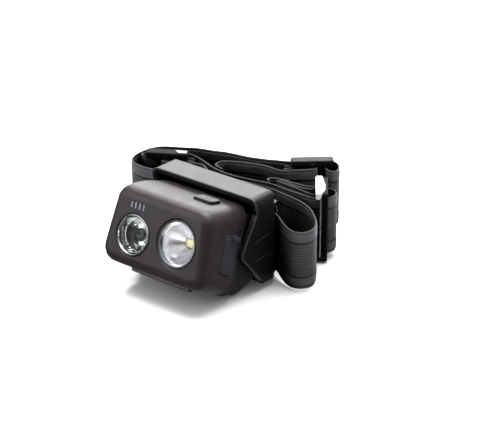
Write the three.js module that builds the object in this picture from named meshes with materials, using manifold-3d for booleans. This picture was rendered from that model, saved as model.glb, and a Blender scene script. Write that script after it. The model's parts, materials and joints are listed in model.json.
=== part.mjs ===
// Headlamp with a tilting lamp head, a hinge bracket and folded 32 mm elastic straps.
// Millimetres, +Z up. The lamp looks towards -Y and everything rests on z = 0.
// Front is -Y, rear is +Y, right is +X (as seen from in front of the lamp).
// Lamp head pieces use their own frame: origin at the face centre, y = depth, z = height.
import * as THREE from 'three';
import { mergeVertices, toCreasedNormals } from 'three/addons/utils/BufferGeometryUtils.js';
import Module from 'manifold-3d';

const kernel = await Module();
kernel.setup();

// ---------------------------------------------------------------- driving dimensions
const ORIGIN_Y = 50;            // distance of the root origin behind the lamp face centre
const FACE_HEIGHT = 33.5;       // lamp face centre above the table
const LEAN_BACK = THREE.MathUtils.degToRad(18.04);
const REACH = 40;               // sideways reach of cutting tools, beyond every side

// lamp head
const FACE_TOP = 20.1;          // half height of the lamp face
const FACE_HALF_WIDTH = 31.43;  // beam plane to the right side at mid height
const FACE_FLARE = 0.111;       // growth of the half width per mm downwards
const TOP_SLOPE = 0.1017;       // top surface rise per mm of depth
const BOTTOM_SLOPE = 0.125;     // bottom surface drop per mm of depth
const TOP_LEFT_LIFT = 0.8;      // extra height of the top left corner at half the seam depth
const CORNER = 8.0;             // corner radius of the face outline
const MIN_CORNER = 1.2;
const WALL = 2.4;               // front shell wall
const PIVOT = { y: 35.9, z: -0.4 };  // hinge axis
const SEAM_Y = 27.6;            // depth of the seam between the shells at pivot height
const SEAM_LEAN = 0.13;         // seam depth growth per mm of height
const SEAM_GAP = 0.35;
// how much further the left side stands out than the right: depth, at the top, at the bottom
const LEFT_EXTRA = [
  [0, 2.7, 2.7], [5, 3.0, 3.0], [10, 3.6, 3.2], [14, 3.9, 2.6],
  [18, 3.6, 1.3], [21.5, 3.0, -0.3], [24.5, 2.3, -1.7], [SEAM_Y, 1.6, -1.9],
];

// opening in the seam, with the seal and the rear shell's tongue nested inside it
const inset = ({ halfWidth, halfHeight }, by, corner) =>
  ({ halfWidth: halfWidth - by, halfHeight: halfHeight - by, corner });
const FIT = 0.3;
const MOUTH = { halfWidth: 26.6, halfHeight: 17, corner: 5 };
const SEAL_OUTER = inset(MOUTH, FIT, MOUTH.corner - FIT);
const SEAL_INNER = inset(SEAL_OUTER, 0.9, 4);
const TONGUE_OUTER = inset(SEAL_INNER, FIT, 4);
const TONGUE_INNER = inset(TONGUE_OUTER, 1.7, 4);

// rear shell
const REAR_RIGHT = 29.2;        // half width on the right
const REAR_LEFT = 30.4;         // and on the left
const REAR_WALL = 2.6;
const REAR_SIDE_WALL = 3;

// bracket
const BRACKET_HALF = 35.0;      // half width over the cheeks
const CHEEK_T = 2.9;
const BRACKET_INNER = BRACKET_HALF - CHEEK_T;
const PLATE_TOP = 51.5;         // height of the top plate
const PLATE_T = 2.4;            // top plate and foot thickness
const CHEEK_END = 4.7;          // cheeks' lower edge above the table
const BEND = 4.5;               // outer bend radius between plate and cheeks
const WALL_SLOPE = 0.0952;      // rear wall's forward lean per mm of height
const REAR_WALL_T = 2.5;
const wallOuter = (z) => 55.4 - WALL_SLOPE * z;

// hinge
const HINGE = {
  pinRadius: 2.0, pinSpan: [27.9, 33.8],
  boreRadius: 2.35, boreStart: 27.6,         // holes in the rear shell
  socketRadius: 2.2, socketDepth: 1.9,       // blind holes in the cheeks
  washerRadius: 4.6, washerHole: 2.3, washerGap: 0.3,
};

// ---------------------------------------------------------------- materials
const WEBBING = { color: 0x2c2c2f, roughness: 0.9 };
const BUCKLE_PLASTIC = { color: 0x1d1d1f, roughness: 0.3 };
const HINGE_STEEL = { color: 0xc9ccd0, roughness: 0.25, metalness: 1 };
const WASHER_PLASTIC = { color: 0xe2e0d8, roughness: 0.5 };
const GREEN_BOARD = { color: 0x1f5a3a, roughness: 0.5, metalness: 0.1 };
const clear = (color, roughness, opacity) => ({ color, roughness, transparent: true, opacity });
const FINISH = { // by mesh name
  front_shell: { color: 0x3a383b, roughness: 0.62 },
  rear_shell: { color: 0x2b2a2d, roughness: 0.66 },
  housing_seal: { color: 0x161617, roughness: 0.85 },
  spot_bezel: { color: 0xd8dadc, roughness: 0.12, metalness: 1 },
  spot_lens: clear(0xffffff, 0.03, 0.3),
  spot_optic: clear(0xe8f2f4, 0.04, 0.45),
  spot_led: { color: 0xf1d94a, roughness: 0.35 },
  flood_bezel: { color: 0x4a4a4d, roughness: 0.35, metalness: 0.3 },
  flood_lens: clear(0xffffff, 0.03, 0.25),
  flood_reflector: { color: 0xe6e7e8, roughness: 0.12, metalness: 1 },
  flood_led: { color: 0xf3dc4e, roughness: 0.35 },
  led_board: { color: 0xdadad6, roughness: 0.5, metalness: 0.1 },
  indicator_guide: { color: 0xdfe9ff, roughness: 0.3 },
  control_board: GREEN_BOARD,
  switch_board: GREEN_BOARD,
  tact_switch: { color: 0x202022, roughness: 0.5, metalness: 0.2 },
  battery_cell: { color: 0x3f6fa8, roughness: 0.4, metalness: 0.1 },
  charge_socket: { color: 0xb9bcc0, roughness: 0.3, metalness: 1 },
  power_button: { color: 0x2a2a2c, roughness: 0.55 },
  charge_cover: { color: 0x3c3f45, roughness: 0.75 },
  bracket_frame: { color: 0x49494c, roughness: 0.55 },
  forehead_pad: { color: 0x26262a, roughness: 0.9 },
};

// ---------------------------------------------------------------- groups
const root = new THREE.Group();
root.name = 'headlamp';
const resting = new THREE.Group();
resting.name = 'resting';
resting.position.set(0, -ORIGIN_Y, 0);
root.add(resting);
const head = new THREE.Group();
head.name = 'lamp_head_group';
head.position.set(0, 0, FACE_HEIGHT);
head.rotation.x = -LEAN_BACK;
resting.add(head);

// ---------------------------------------------------------------- solids and meshes
function weld(geometry, tolerance) {
  const bare = geometry.index ? geometry.toNonIndexed() : geometry.clone();
  bare.deleteAttribute('normal');
  bare.deleteAttribute('uv');
  return mergeVertices(bare, tolerance);
}
function toSolid(part) {
  if (!part.isBufferGeometry) return part;
  const welded = weld(part, 1e-5);
  return new kernel.Manifold(new kernel.Mesh({
    numProp: 3,
    vertProperties: new Float32Array(welded.getAttribute('position').array),
    triVerts: new Uint32Array(welded.index.array),
  }));
}
function toGeometry(part) {
  if (part.isBufferGeometry) return part;
  const mesh = part.getMesh();
  const geometry = new THREE.BufferGeometry();
  const positions = new Float32Array(mesh.vertProperties);
  geometry.setAttribute('position', new THREE.BufferAttribute(positions, 3));
  geometry.setIndex(new THREE.BufferAttribute(new Uint32Array(mesh.triVerts), 1));
  return geometry;
}
// cut, join and put take solids or geometries
const cut = (base, ...tools) =>
  tools.reduce((body, tool) => body.subtract(toSolid(tool)), toSolid(base));
const join = (base, ...parts) =>
  parts.reduce((body, part) => body.add(toSolid(part)), toSolid(base));
function put(parent, name, part, finish = FINISH[name]) {
  const geometry = toCreasedNormals(weld(toGeometry(part), 1e-4), 0.6);
  const mesh = new THREE.Mesh(geometry, new THREE.MeshStandardMaterial(finish));
  mesh.name = name;
  parent.add(mesh);
}

// ---------------------------------------------------------------- primitives
const box = ([x0, x1], [y0, y1], [z0, z1]) =>
  new THREE.BoxGeometry(x1 - x0, y1 - y0, z1 - z0)
    .translate((x0 + x1) / 2, (y0 + y1) / 2, (z0 + z1) / 2);
const cylinderX = (radius, [x0, x1], { y, z }, segments = 32) =>
  new THREE.CylinderGeometry(radius, radius, x1 - x0, segments)
    .rotateZ(Math.PI / 2).translate((x0 + x1) / 2, y, z);
const cylinderY = (radius, [y0, y1], { x, z }, segments) =>
  new THREE.CylinderGeometry(radius, radius, y1 - y0, segments).translate(x, (y0 + y1) / 2, z);
const cylinderZ = (radius, [z0, z1], [x, y], segments) =>
  new THREE.CylinderGeometry(radius, radius, z1 - z0, segments)
    .rotateX(Math.PI / 2).translate(x, y, (z0 + z1) / 2);
// profile of [radius, depth] turned about the line along Y through (x, z)
const latheY = (profile, { x, z }) =>
  new THREE.LatheGeometry(profile.map((point) => new THREE.Vector2(...point)), 40)
    .translate(x, 0, z);
// span along X on one side: side is 1 for right, -1 for left
const sideSpan = (side, near, far) => (side > 0 ? [near, far] : [-far, -near]);

// polygon with rounded corners; one radius for all, or one per corner
function roundPoly(corners, radii, segments = 5) {
  return corners.flatMap(([x, y], i) => {
    const wanted = Array.isArray(radii) ? radii[i] : radii;
    if (wanted <= 0) return [[x, y]];
    const corner = new THREE.Vector2(x, y);
    const toPrevious = new THREE.Vector2(...corners.at(i - 1)).sub(corner);
    const toNext = new THREE.Vector2(...corners[(i + 1) % corners.length]).sub(corner);
    const half = toPrevious.angleTo(toNext) / 2;
    // the arc may use up just under half of each edge
    const longest = 0.49 * Math.min(toPrevious.length(), toNext.length());
    const setback = Math.min(wanted / Math.tan(half), longest);
    const radius = setback * Math.tan(half);
    toPrevious.normalize();
    toNext.normalize();
    const centre = toPrevious.clone().add(toNext).normalize()
      .multiplyScalar(radius / Math.sin(half)).add(corner);
    const angleOf = (direction) => {
      const point = direction.clone().multiplyScalar(setback).add(corner);
      return Math.atan2(point.y - centre.y, point.x - centre.x);
    };
    const start = angleOf(toPrevious);
    let sweep = angleOf(toNext) - start;
    if (sweep > Math.PI) sweep -= 2 * Math.PI;
    if (sweep < -Math.PI) sweep += 2 * Math.PI;
    return Array.from({ length: segments + 1 }, (_, k) => {
      const angle = start + (sweep * k) / segments;
      return [centre.x + radius * Math.cos(angle), centre.y + radius * Math.sin(angle)];
    });
  });
}
const roundRect = (width, height, radius, segments) => roundPoly([
  [-width / 2, -height / 2], [width / 2, -height / 2],
  [width / 2, height / 2], [-width / 2, height / 2],
], radius, segments);

function extrude(outline, length, { bevel = 0, rounds = 2 } = {}) {
  const shape = new THREE.Shape();
  outline.forEach(([x, y], i) => (i ? shape.lineTo(x, y) : shape.moveTo(x, y)));
  shape.closePath();
  return new THREE.ExtrudeGeometry(shape, {
    depth: length - 2 * bevel,
    steps: 1,
    bevelEnabled: bevel > 0,
    bevelThickness: bevel,
    bevelSize: bevel,
    bevelOffset: -bevel,
    bevelSegments: rounds,
  }).translate(0, 0, bevel);
}
const axes = (x, y, z) => new THREE.Matrix4().makeBasis(
  new THREE.Vector3(...x), new THREE.Vector3(...y), new THREE.Vector3(...z));
// outline drawn as (depth, height)
const alongX = (outline, x0, length, options) => extrude(outline, length, options)
  .applyMatrix4(axes([0, 1, 0], [0, 0, 1], [1, 0, 0])).translate(x0, 0, 0);
// outline drawn as (-x, height)
const alongY = (outline, y0, length, options) => extrude(outline, length, options)
  .applyMatrix4(axes([-1, 0, 0], [0, 0, 1], [0, 1, 0])).translate(0, y0, 0);
// outline drawn as (x, y)
const alongZ = (outline, z0, length, options) =>
  extrude(outline, length, options).translate(0, 0, z0);

// closed solid through rings of equal length, with faces turned outwards
function loft(rings) {
  const count = rings[0].length;
  const points = rings.flat();
  const faces = [];
  for (let k = 0; k + 1 < rings.length; k++)
    for (let i = 0; i < count; i++) {
      const a = k * count + i;
      const b = k * count + ((i + 1) % count);
      faces.push([a, b, b + count], [a, b + count, a + count]);
    }
  for (const k of [0, rings.length - 1]) {
    const middle = points.length;
    points.push(rings[k].reduce(
      (sum, point) => sum.map((value, axis) => value + point[axis] / count), [0, 0, 0]));
    for (let i = 0; i < count; i++) {
      const a = k * count + i;
      const b = k * count + ((i + 1) % count);
      faces.push(k === 0 ? [middle, b, a] : [middle, a, b]);
    }
  }
  const vectors = points.map((point) => new THREE.Vector3(...point));
  const volume = faces.reduce((sum, [a, b, c]) =>
    sum + vectors[a].dot(vectors[b].clone().cross(vectors[c])), 0);
  const turned = volume < 0 ? faces.map(([a, b, c]) => [a, c, b]) : faces;
  const geometry = new THREE.BufferGeometry();
  geometry.setAttribute('position', new THREE.Float32BufferAttribute(points.flat(), 3));
  geometry.setIndex(turned.flat());
  return geometry;
}

// ---------------------------------------------------------------- lamp head outline
const halfWidthAt = (z) => FACE_HALF_WIDTH - FACE_FLARE * z;
const topAt = (depth) => FACE_TOP + TOP_SLOPE * depth;
const seamAt = (z) => SEAM_Y + SEAM_LEAN * (z - PIVOT.z);

function leftExtraAt(depth) {
  const next = LEFT_EXTRA.findIndex(([station], i) => i > 0 && depth <= station);
  const [y0, top0, bottom0] = LEFT_EXTRA[next - 1];
  const [y1, top1, bottom1] = LEFT_EXTRA[next];
  const k = (depth - y0) / (y1 - y0);
  return [top0 + (top1 - top0) * k, bottom0 + (bottom1 - bottom0) * k];
}
function headOutline(depth, by) {
  const [topExtra, bottomExtra] = leftExtraAt(depth);
  const lift = TOP_LEFT_LIFT * Math.sin((Math.PI * depth) / SEAM_Y);
  const top = topAt(depth) - by;
  const bottom = -FACE_TOP - BOTTOM_SLOPE * depth + by;
  const half = (z) => halfWidthAt(z) - by;
  return roundPoly([
    [-half(bottom) - bottomExtra, bottom], [half(bottom), bottom],
    [half(top), top], [-half(top) - topExtra, top + lift],
  ], Math.max(CORNER - by, MIN_CORNER), 7);
}
const flatRing = ([depth, by]) => headOutline(depth, by).map(([x, z]) => [x, depth, z]);
const followSeam = (outline, offset) => outline.map(([x, z]) => [x, seamAt(z) + offset, z]);
const seamRing = (offset, by) => followSeam(headOutline(SEAM_Y + offset, by), offset);

// rounded block whose ends follow the seam, between two offsets from it
function seamBlock({ halfWidth, halfHeight, corner }, front, rear) {
  const outline = roundRect(2 * halfWidth, 2 * halfHeight, corner);
  return loft([followSeam(outline, front), followSeam(outline, rear)]);
}

// ---------------------------------------------------------------- beam dimensions
const LED_BACK = 12.7;
// turned: profiles of [radius, depth]; led.half is half its width and height
const BEAMS = [
  {
    name: 'spot', x: -16.1, z: -3.2, radius: 10.9,
    chamfer: { width: 1.5, depth: 0.7 },
    led: { half: 1.55, front: 11.2 },
    turned: {
      bezel: [[9.55, 0.5], [9.75, 0.05], [10.1, -0.12], [10.45, 0.1], [10.6, 0.6],
        [10.6, 2.8], [9.55, 2.8], [9.55, 0.5]],
      lens: [[0, 0.55], [8.9, 0.55], [9.25, 0.8], [9.25, 1.9], [0, 1.9]],
      optic: [[0, 2.3], [8.9, 2.3], [9.1, 2.5], [9.1, 3.2], [7.8, 6.6], [5.6, 9.8],
        [3.4, 12.0], [2.4, 12.0], [2.4, 9.6], [0, 8.9]],
    },
  },
  {
    name: 'flood', x: 12.35, z: -0.1, radius: 12.5,
    chamfer: { width: 1.9, depth: 0.8 },
    led: { half: 1.75, front: 11.3 },
    turned: {
      bezel: [[11.35, 0.9], [11.5, 0.35], [11.8, 0.2], [12.1, 0.4], [12.2, 0.9],
        [12.2, 3.0], [11.35, 3.0], [11.35, 0.9]],
      lens: [[0, 0.75], [10.7, 0.75], [11.05, 1.0], [11.05, 2.0], [0, 2.0]],
      reflector: [[11.0, 2.4], [11.0, 3.0], [9.7, 5.6], [7.6, 8.6], [4.9, 11.3],
        [3.6, 12.2], [2.9, 12.2], [2.9, 11.6], [4.2, 10.6], [6.8, 8.0], [8.9, 5.2],
        [10.3, 2.4], [11.0, 2.4]],
    },
  },
];

// row of four indicator slots on the face
const SLOTS = { count: 4, x: -20.55, pitch: 2.65, z: 11.85 };
const slotPlaces = Array.from({ length: SLOTS.count }, (_, k) => SLOTS.x + SLOTS.pitch * k);

// ---------------------------------------------------------------- power button
const BUTTON = { x: 12.5, y: 17.5, width: 12.4, length: 7.6 };
// frame on the top surface, z = outwards
const buttonFrame = new THREE.Matrix4().makeRotationX(Math.atan(TOP_SLOPE))
  .setPosition(BUTTON.x, BUTTON.y, topAt(BUTTON.y));
const buttonOutline = (grow, radius) =>
  roundRect(BUTTON.width + grow, BUTTON.length + grow, radius);

function powerButton() {
  const cap = alongZ(buttonOutline(0, 1.5), -3.1, 4.9, { bevel: 0.45, rounds: 3 });
  const flange = alongZ(buttonOutline(2.2, 2.0), -3.35, 0.6);
  return toGeometry(join(cap, flange)).applyMatrix4(buttonFrame);
}

// ---------------------------------------------------------------- charge port
const COVER = {
  y: 19.2, z: -1.1, proud: 0.12,
  width: 11.4, height: 19.8, corner: 2.0,
  taper: 0.7,                            // narrowing per side at the lower end
  tilt: THREE.MathUtils.degToRad(13),    // lean of the upper end to the rear
};
const COVER_GAP = 0.3;

function coverOutline(grow) {
  const half = COVER.width / 2 + grow;
  const halfHeight = COVER.height / 2 + grow;
  return roundPoly([
    [-half + COVER.taper, -halfHeight], [half - COVER.taper, -halfHeight],
    [half, halfHeight], [-half, halfHeight],
  ], COVER.corner + grow);
}
// frame on the right side: x = depth, y = up the side, z = outwards
function makeCoverFrame() {
  const flare = Math.atan(FACE_FLARE);
  const outwards = new THREE.Vector3(Math.cos(flare), 0, Math.sin(flare));
  const up = new THREE.Vector3(-Math.sin(flare), 0, Math.cos(flare));
  const rearwards = new THREE.Vector3().crossVectors(up, outwards);
  const cos = Math.cos(COVER.tilt);
  const sin = Math.sin(COVER.tilt);
  return new THREE.Matrix4().makeBasis(
    rearwards.clone().multiplyScalar(cos).addScaledVector(up, -sin),
    up.clone().multiplyScalar(cos).addScaledVector(rearwards, sin),
    outwards,
  ).setPosition(halfWidthAt(COVER.z) + COVER.proud, COVER.y, COVER.z);
}
const coverFrame = makeCoverFrame();

function chargeSocket() {
  const body = alongZ(roundRect(3.3, 9.0, 1.6), -9.3, 6.5);
  const cavity = alongZ(roundRect(2.6, 8.2, 1.25), -8, 5.5);
  return toGeometry(cut(body, cavity)).applyMatrix4(coverFrame);
}
function chargeCover() {
  const flap = alongZ(coverOutline(0), -1.0, 1.35, { bevel: 0.3 });
  const plug = alongZ(roundRect(3.0, 8.6, 1.4), -1.9, 1.3);
  return toGeometry(join(flap, plug)).applyMatrix4(coverFrame);
}

// ---------------------------------------------------------------- front shell
// ring stations: depth, inset from the head outline
const SHELL_OUTSIDE = [
  [0, 5.2], [0.12, 4.1], [0.5, 2.9], [1.2, 1.8], [2.2, 0.95], [3.5, 0.38],
  [5.0, 0.08], [6.8, 0], [10, -0.08], [14, -0.15], [18, -0.12], [22, -0.06],
];
const SHELL_INSIDE = [[2.3, WALL + 1.7], [3.4, WALL + 0.5], [5.2, WALL], [14, WALL], [18, WALL]];
const NOTCH_HALF = 0.55;
const NOTCH_PLACES = [-26.8, -23.6, -20.7, -17.9, -14.7, -11.4, -8.3]; // x

function beamChamfer(beam) {
  const { width, depth } = beam.chamfer;
  return latheY(
    [[0, -1], [beam.radius + width, -1], [beam.radius - 0.2, depth], [0, depth]], beam);
}
// strip under the bottom surface, just behind the front edge
function bottomLip() {
  const outline = roundPoly([[-16, 3.2], [24, 3.2], [24, 6.4], [-16, 6.4]], 1.4, 3);
  return alongZ(outline, 0, 2.6, { bevel: 0.5, rounds: 1 })
    .applyMatrix4(new THREE.Matrix4().makeRotationX(-Math.atan(BOTTOM_SLOPE)))
    .translate(0, 0, -21.3);
}
function frontShell() {
  const shell = cut(
    loft([...SHELL_OUTSIDE.map(flatRing), seamRing(-1.0, 0), seamRing(0, 0.35)]),
    loft([...SHELL_INSIDE.map(flatRing), seamRing(-3.4, WALL)]),
    seamBlock(MOUTH, -5, 3),
    ...BEAMS.map((beam) => cylinderY(beam.radius, [-2, 6], beam, 48)),
    ...BEAMS.map(beamChamfer),
    ...slotPlaces.map((x) =>
      alongY(roundRect(1.5, 3.9, 0.7, 3), -1, 4).translate(x, 0, SLOTS.z)),
    alongZ(buttonOutline(0.7, 1.6), -5, 8).applyMatrix4(buttonFrame),
    // recess for the cover and opening for the socket
    alongZ(coverOutline(COVER_GAP), -1.3, 5).applyMatrix4(coverFrame),
    alongZ(roundRect(4.4, 10.4, 2.1), -5, 6).applyMatrix4(coverFrame),
    // notches along the rear edge of the top
    ...NOTCH_PLACES.map((x) => box([x - NOTCH_HALF, x + NOTCH_HALF], [26.6, 33], [21.4, 30])),
  );
  return join(shell, bottomLip());
}
put(head, 'front_shell', frontShell());

// ---------------------------------------------------------------- rear shell and seal
// side profile from top to bottom: depth and height from the hinge axis
const REAR_PROFILE = [
  [0.5, 19.6], [6.5, 16.8], [11.4, 12.0], [14.6, 6.4], [16.0, 0.3], [15.5, -5.0],
  [13.9, -9.6], [11.8, -13.4], [10.2, -16.2], [7.9, -18.2], [3.3, -20.9], [-1.6, -23.2],
];
function rearProfile(by) {
  const onSeam = (z) => [seamAt(z) + SEAM_GAP + (by > 0 ? 0.2 : 0), z];
  const curved = REAR_PROFILE.map(([y, z]) => {
    const distance = Math.hypot(y, z);
    const shrunk = distance - by;
    return [PIVOT.y + (y * shrunk) / distance, PIVOT.z + (z * shrunk) / distance];
  });
  const points = [onSeam(PIVOT.z + 20.0 - by), ...curved, onSeam(PIVOT.z - 22.4 + by)];
  const curve = new THREE.CatmullRomCurve3(
    points.map(([y, z]) => new THREE.Vector3(y, z, 0)), false, 'centripetal');
  return curve.getSpacedPoints(26).map((point) => [point.x, point.y]);
}
function rearShell() {
  const width = REAR_LEFT + REAR_RIGHT;
  const body = alongX(rearProfile(0), -REAR_LEFT, width, { bevel: 1.6, rounds: 3 });
  // the hollow stops short of the seam, leaving a front wall
  const hollow = cut(
    alongX(rearProfile(REAR_WALL), -(REAR_LEFT - REAR_SIDE_WALL), width - 2 * REAR_SIDE_WALL),
    seamBlock({ halfWidth: REACH, halfHeight: REACH, corner: 4 }, -9, 2.6),
  );
  return cut(
    join(cut(body, hollow), seamBlock(TONGUE_OUTER, -2.6, 2.2)),
    seamBlock(TONGUE_INNER, -6, 6),
    ...[-1, 1].map((side) =>
      cylinderX(HINGE.boreRadius, sideSpan(side, HINGE.boreStart, REACH), PIVOT)),
  );
}
put(head, 'rear_shell', rearShell());
put(head, 'housing_seal', cut(seamBlock(SEAL_OUTER, -2.0, -0.6), seamBlock(SEAL_INNER, -3, 1)));

// ---------------------------------------------------------------- beams
for (const beam of BEAMS) {
  const { name, x, z, led } = beam;
  for (const [piece, profile] of Object.entries(beam.turned))
    put(head, `${name}_${piece}`, latheY(profile, beam));
  put(head, `${name}_led`,
    box([x - led.half, x + led.half], [led.front, LED_BACK], [z - led.half, z + led.half]));
}

// ---------------------------------------------------------------- inside the lamp head
// base plate with one light bar reaching into each slot
function indicatorGuide() {
  const middle = SLOTS.x + (SLOTS.pitch * (SLOTS.count - 1)) / 2;
  return join(
    alongY(roundRect(11.4, 4.9, 1.0, 3), 2.7, 1.2).translate(middle, 0, SLOTS.z),
    ...slotPlaces.map((x) =>
      alongY(roundRect(1.15, 3.4, 0.5, 3), 0.12, 2.9, { bevel: 0.12, rounds: 1 })
        .translate(x, 0, SLOTS.z)),
  );
}
const BOARD_T = 1.2;
const BOARD_Z = -1.2;
put(head, 'led_board',
  alongY(roundRect(50, 25, 4), 13.1, BOARD_T, { bevel: 0.2, rounds: 1 })
    .translate(-1, 0, BOARD_Z));
put(head, 'indicator_guide', indicatorGuide());
put(head, 'control_board',
  alongY(roundRect(43, 25, 2), 19.6, BOARD_T).translate(-4.5, 0, BOARD_Z));
put(head, 'switch_board', box([3.5, 21.5], [12.4, 22.6], [13.0, 14.2]));
put(head, 'tact_switch', box([9.5, 15.5], [14.6, 20.6], [14.5, 17.2]));
put(head, 'battery_cell', cylinderX(8.6, [-24.6, 24.6], { y: 39.0, z: -2.2 }, 40));
put(head, 'charge_socket', chargeSocket());
put(head, 'power_button', powerButton());
put(head, 'charge_cover', chargeCover());

// ---------------------------------------------------------------- hinge
// hinge axis in the resting frame
const hingeAxis = {
  y: Math.cos(LEAN_BACK) * PIVOT.y + Math.sin(LEAN_BACK) * PIVOT.z,
  z: -Math.sin(LEAN_BACK) * PIVOT.y + Math.cos(LEAN_BACK) * PIVOT.z + FACE_HEIGHT,
};
// fills the space between the rear shell and the cheek, less a gap on each face
function hingeWasher(side) {
  const near = (side > 0 ? REAR_RIGHT : REAR_LEFT) + HINGE.washerGap;
  const far = BRACKET_INNER - HINGE.washerGap;
  return cut(
    cylinderX(HINGE.washerRadius, sideSpan(side, near, far), hingeAxis),
    cylinderX(HINGE.washerHole, [-REACH, REACH], hingeAxis),
  );
}
for (const [side, label] of [[-1, 'left'], [1, 'right']]) {
  const pin = cylinderX(HINGE.pinRadius, sideSpan(side, ...HINGE.pinSpan), hingeAxis, 28);
  put(resting, `hinge_pin_${label}`, pin, HINGE_STEEL);
  put(resting, `hinge_washer_${label}`, hingeWasher(side), WASHER_PLASTIC);
}

// ---------------------------------------------------------------- bracket
// side outline: front edge of the plate, nose beside the hinge, foot, rear wall (depth, height)
const CHEEK_OUTLINE = [
  [35.3, PLATE_TOP], [35.1, 47.6], [36.4, 43.4], [23.4, 23.6], [41.8, 2.9], [43.0, 0],
  [wallOuter(0), 0], [wallOuter(PLATE_TOP), PLATE_TOP],
];
const CHEEK_RADII = [0.9, 2.2, 3.0, 3.0, 1.6, 0, 0.8, 0.8];
// plan outline with the rear corners cut back (x, depth)
const PLAN_OUTLINE = [
  [-BRACKET_HALF, 10], [BRACKET_HALF, 10], [BRACKET_HALF, 48.6],
  [31.4, 56], [-31.4, 56], [-BRACKET_HALF, 48.6],
];
const PLAN_RADII = [0, 0, 3, 1.5, 1.5, 3];
// right lug seen from above (x, depth)
const LUG_OUTLINE = [[16.9, 48.5], [27.4, 48.5], [27.4, 56.5], [25.0, 64.9], [20.0, 64.9], [16.9, 56]];
const LUG_RADII = [0, 0, 2, 2.2, 2.2, 2];
const LUG_T = 2.3;
const LUG_HEIGHTS = [0.3, 36.6];  // undersides of the two lugs on each side
const STRAP_BAR = { x: 22.5, y: 62.5, radius: 1.6, span: [1.2, 38] };

// two lugs and the upright strap bar between them, behind the rear wall
function strapMount(side) {
  const outline = roundPoly(LUG_OUTLINE.map(([x, y]) => [side * x, y]), LUG_RADII, 4);
  if (side < 0) outline.reverse(); // same winding on both sides
  const { x, y, radius, span } = STRAP_BAR;
  return [
    ...LUG_HEIGHTS.map((z) => alongZ(outline, z, LUG_T, { bevel: 0.4 })),
    cylinderZ(radius, span, [side * x, y], 20),
  ];
}
function bracketFrame() {
  // front view: the plate bends down into the cheeks
  const envelope = alongY(roundPoly([
    [-BRACKET_HALF, 0], [BRACKET_HALF, 0], [BRACKET_HALF, PLATE_TOP], [-BRACKET_HALF, PLATE_TOP],
  ], [0.6, 0.6, BEND, BEND], 8), 10, 60);
  const sides = alongX(
    roundPoly(CHEEK_OUTLINE, CHEEK_RADII), -BRACKET_HALF, 2 * BRACKET_HALF, { bevel: 0.5 });
  const plan = alongZ(roundPoly(PLAN_OUTLINE, PLAN_RADII), -2, 60);
  const wallInner = (z) => wallOuter(z) - REAR_WALL_T;
  const ceiling = PLATE_TOP - PLATE_T;
  const hollow = toSolid(alongX([
    [0, PLATE_T], [wallInner(PLATE_T), PLATE_T], [wallInner(ceiling), ceiling], [0, ceiling],
  ], -BRACKET_INNER, 2 * BRACKET_INNER));

  const shaped = cut(sides, hollow).intersect(toSolid(envelope)).intersect(toSolid(plan));
  const trimmed = cut(
    shaped,
    // front of the foot
    box([-BRACKET_INNER, BRACKET_INNER], [0, 46], [-1, PLATE_T + 0.2]),
    // the cheeks end above the table
    ...[-1, 1].map((side) => box(sideSpan(side, 30.6, REACH), [0, 60], [-1, CHEEK_END])),
  );
  return cut(
    join(trimmed, ...strapMount(-1), ...strapMount(1)),
    hollow, // clears the lug roots from the lamp space
    ...[-1, 1].map((side) => cylinderX(
      HINGE.socketRadius,
      sideSpan(side, BRACKET_INNER - 2, BRACKET_INNER + HINGE.socketDepth),
      hingeAxis,
    )),
  );
}
put(resting, 'bracket_frame', bracketFrame());

// pad behind the rear wall, parallel to it
function foreheadPad() {
  const middle = 24;
  const lean = Math.atan(WALL_SLOPE);
  const cos = Math.cos(lean);
  const sin = Math.sin(lean);
  return extrude(roundRect(31.6, 37, 5), 4.0, { bevel: 1.2 })
    .applyMatrix4(axes([-1, 0, 0], [0, -sin, cos], [0, cos, sin]))
    .translate(0, wallOuter(middle) + 0.3, middle);
}
put(resting, 'forehead_pad', foreheadPad());

// ---------------------------------------------------------------- straps
const STRAP_W = 32; // webbing width; the straps stand on edge
const STRAP_T = 1.2;
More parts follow.
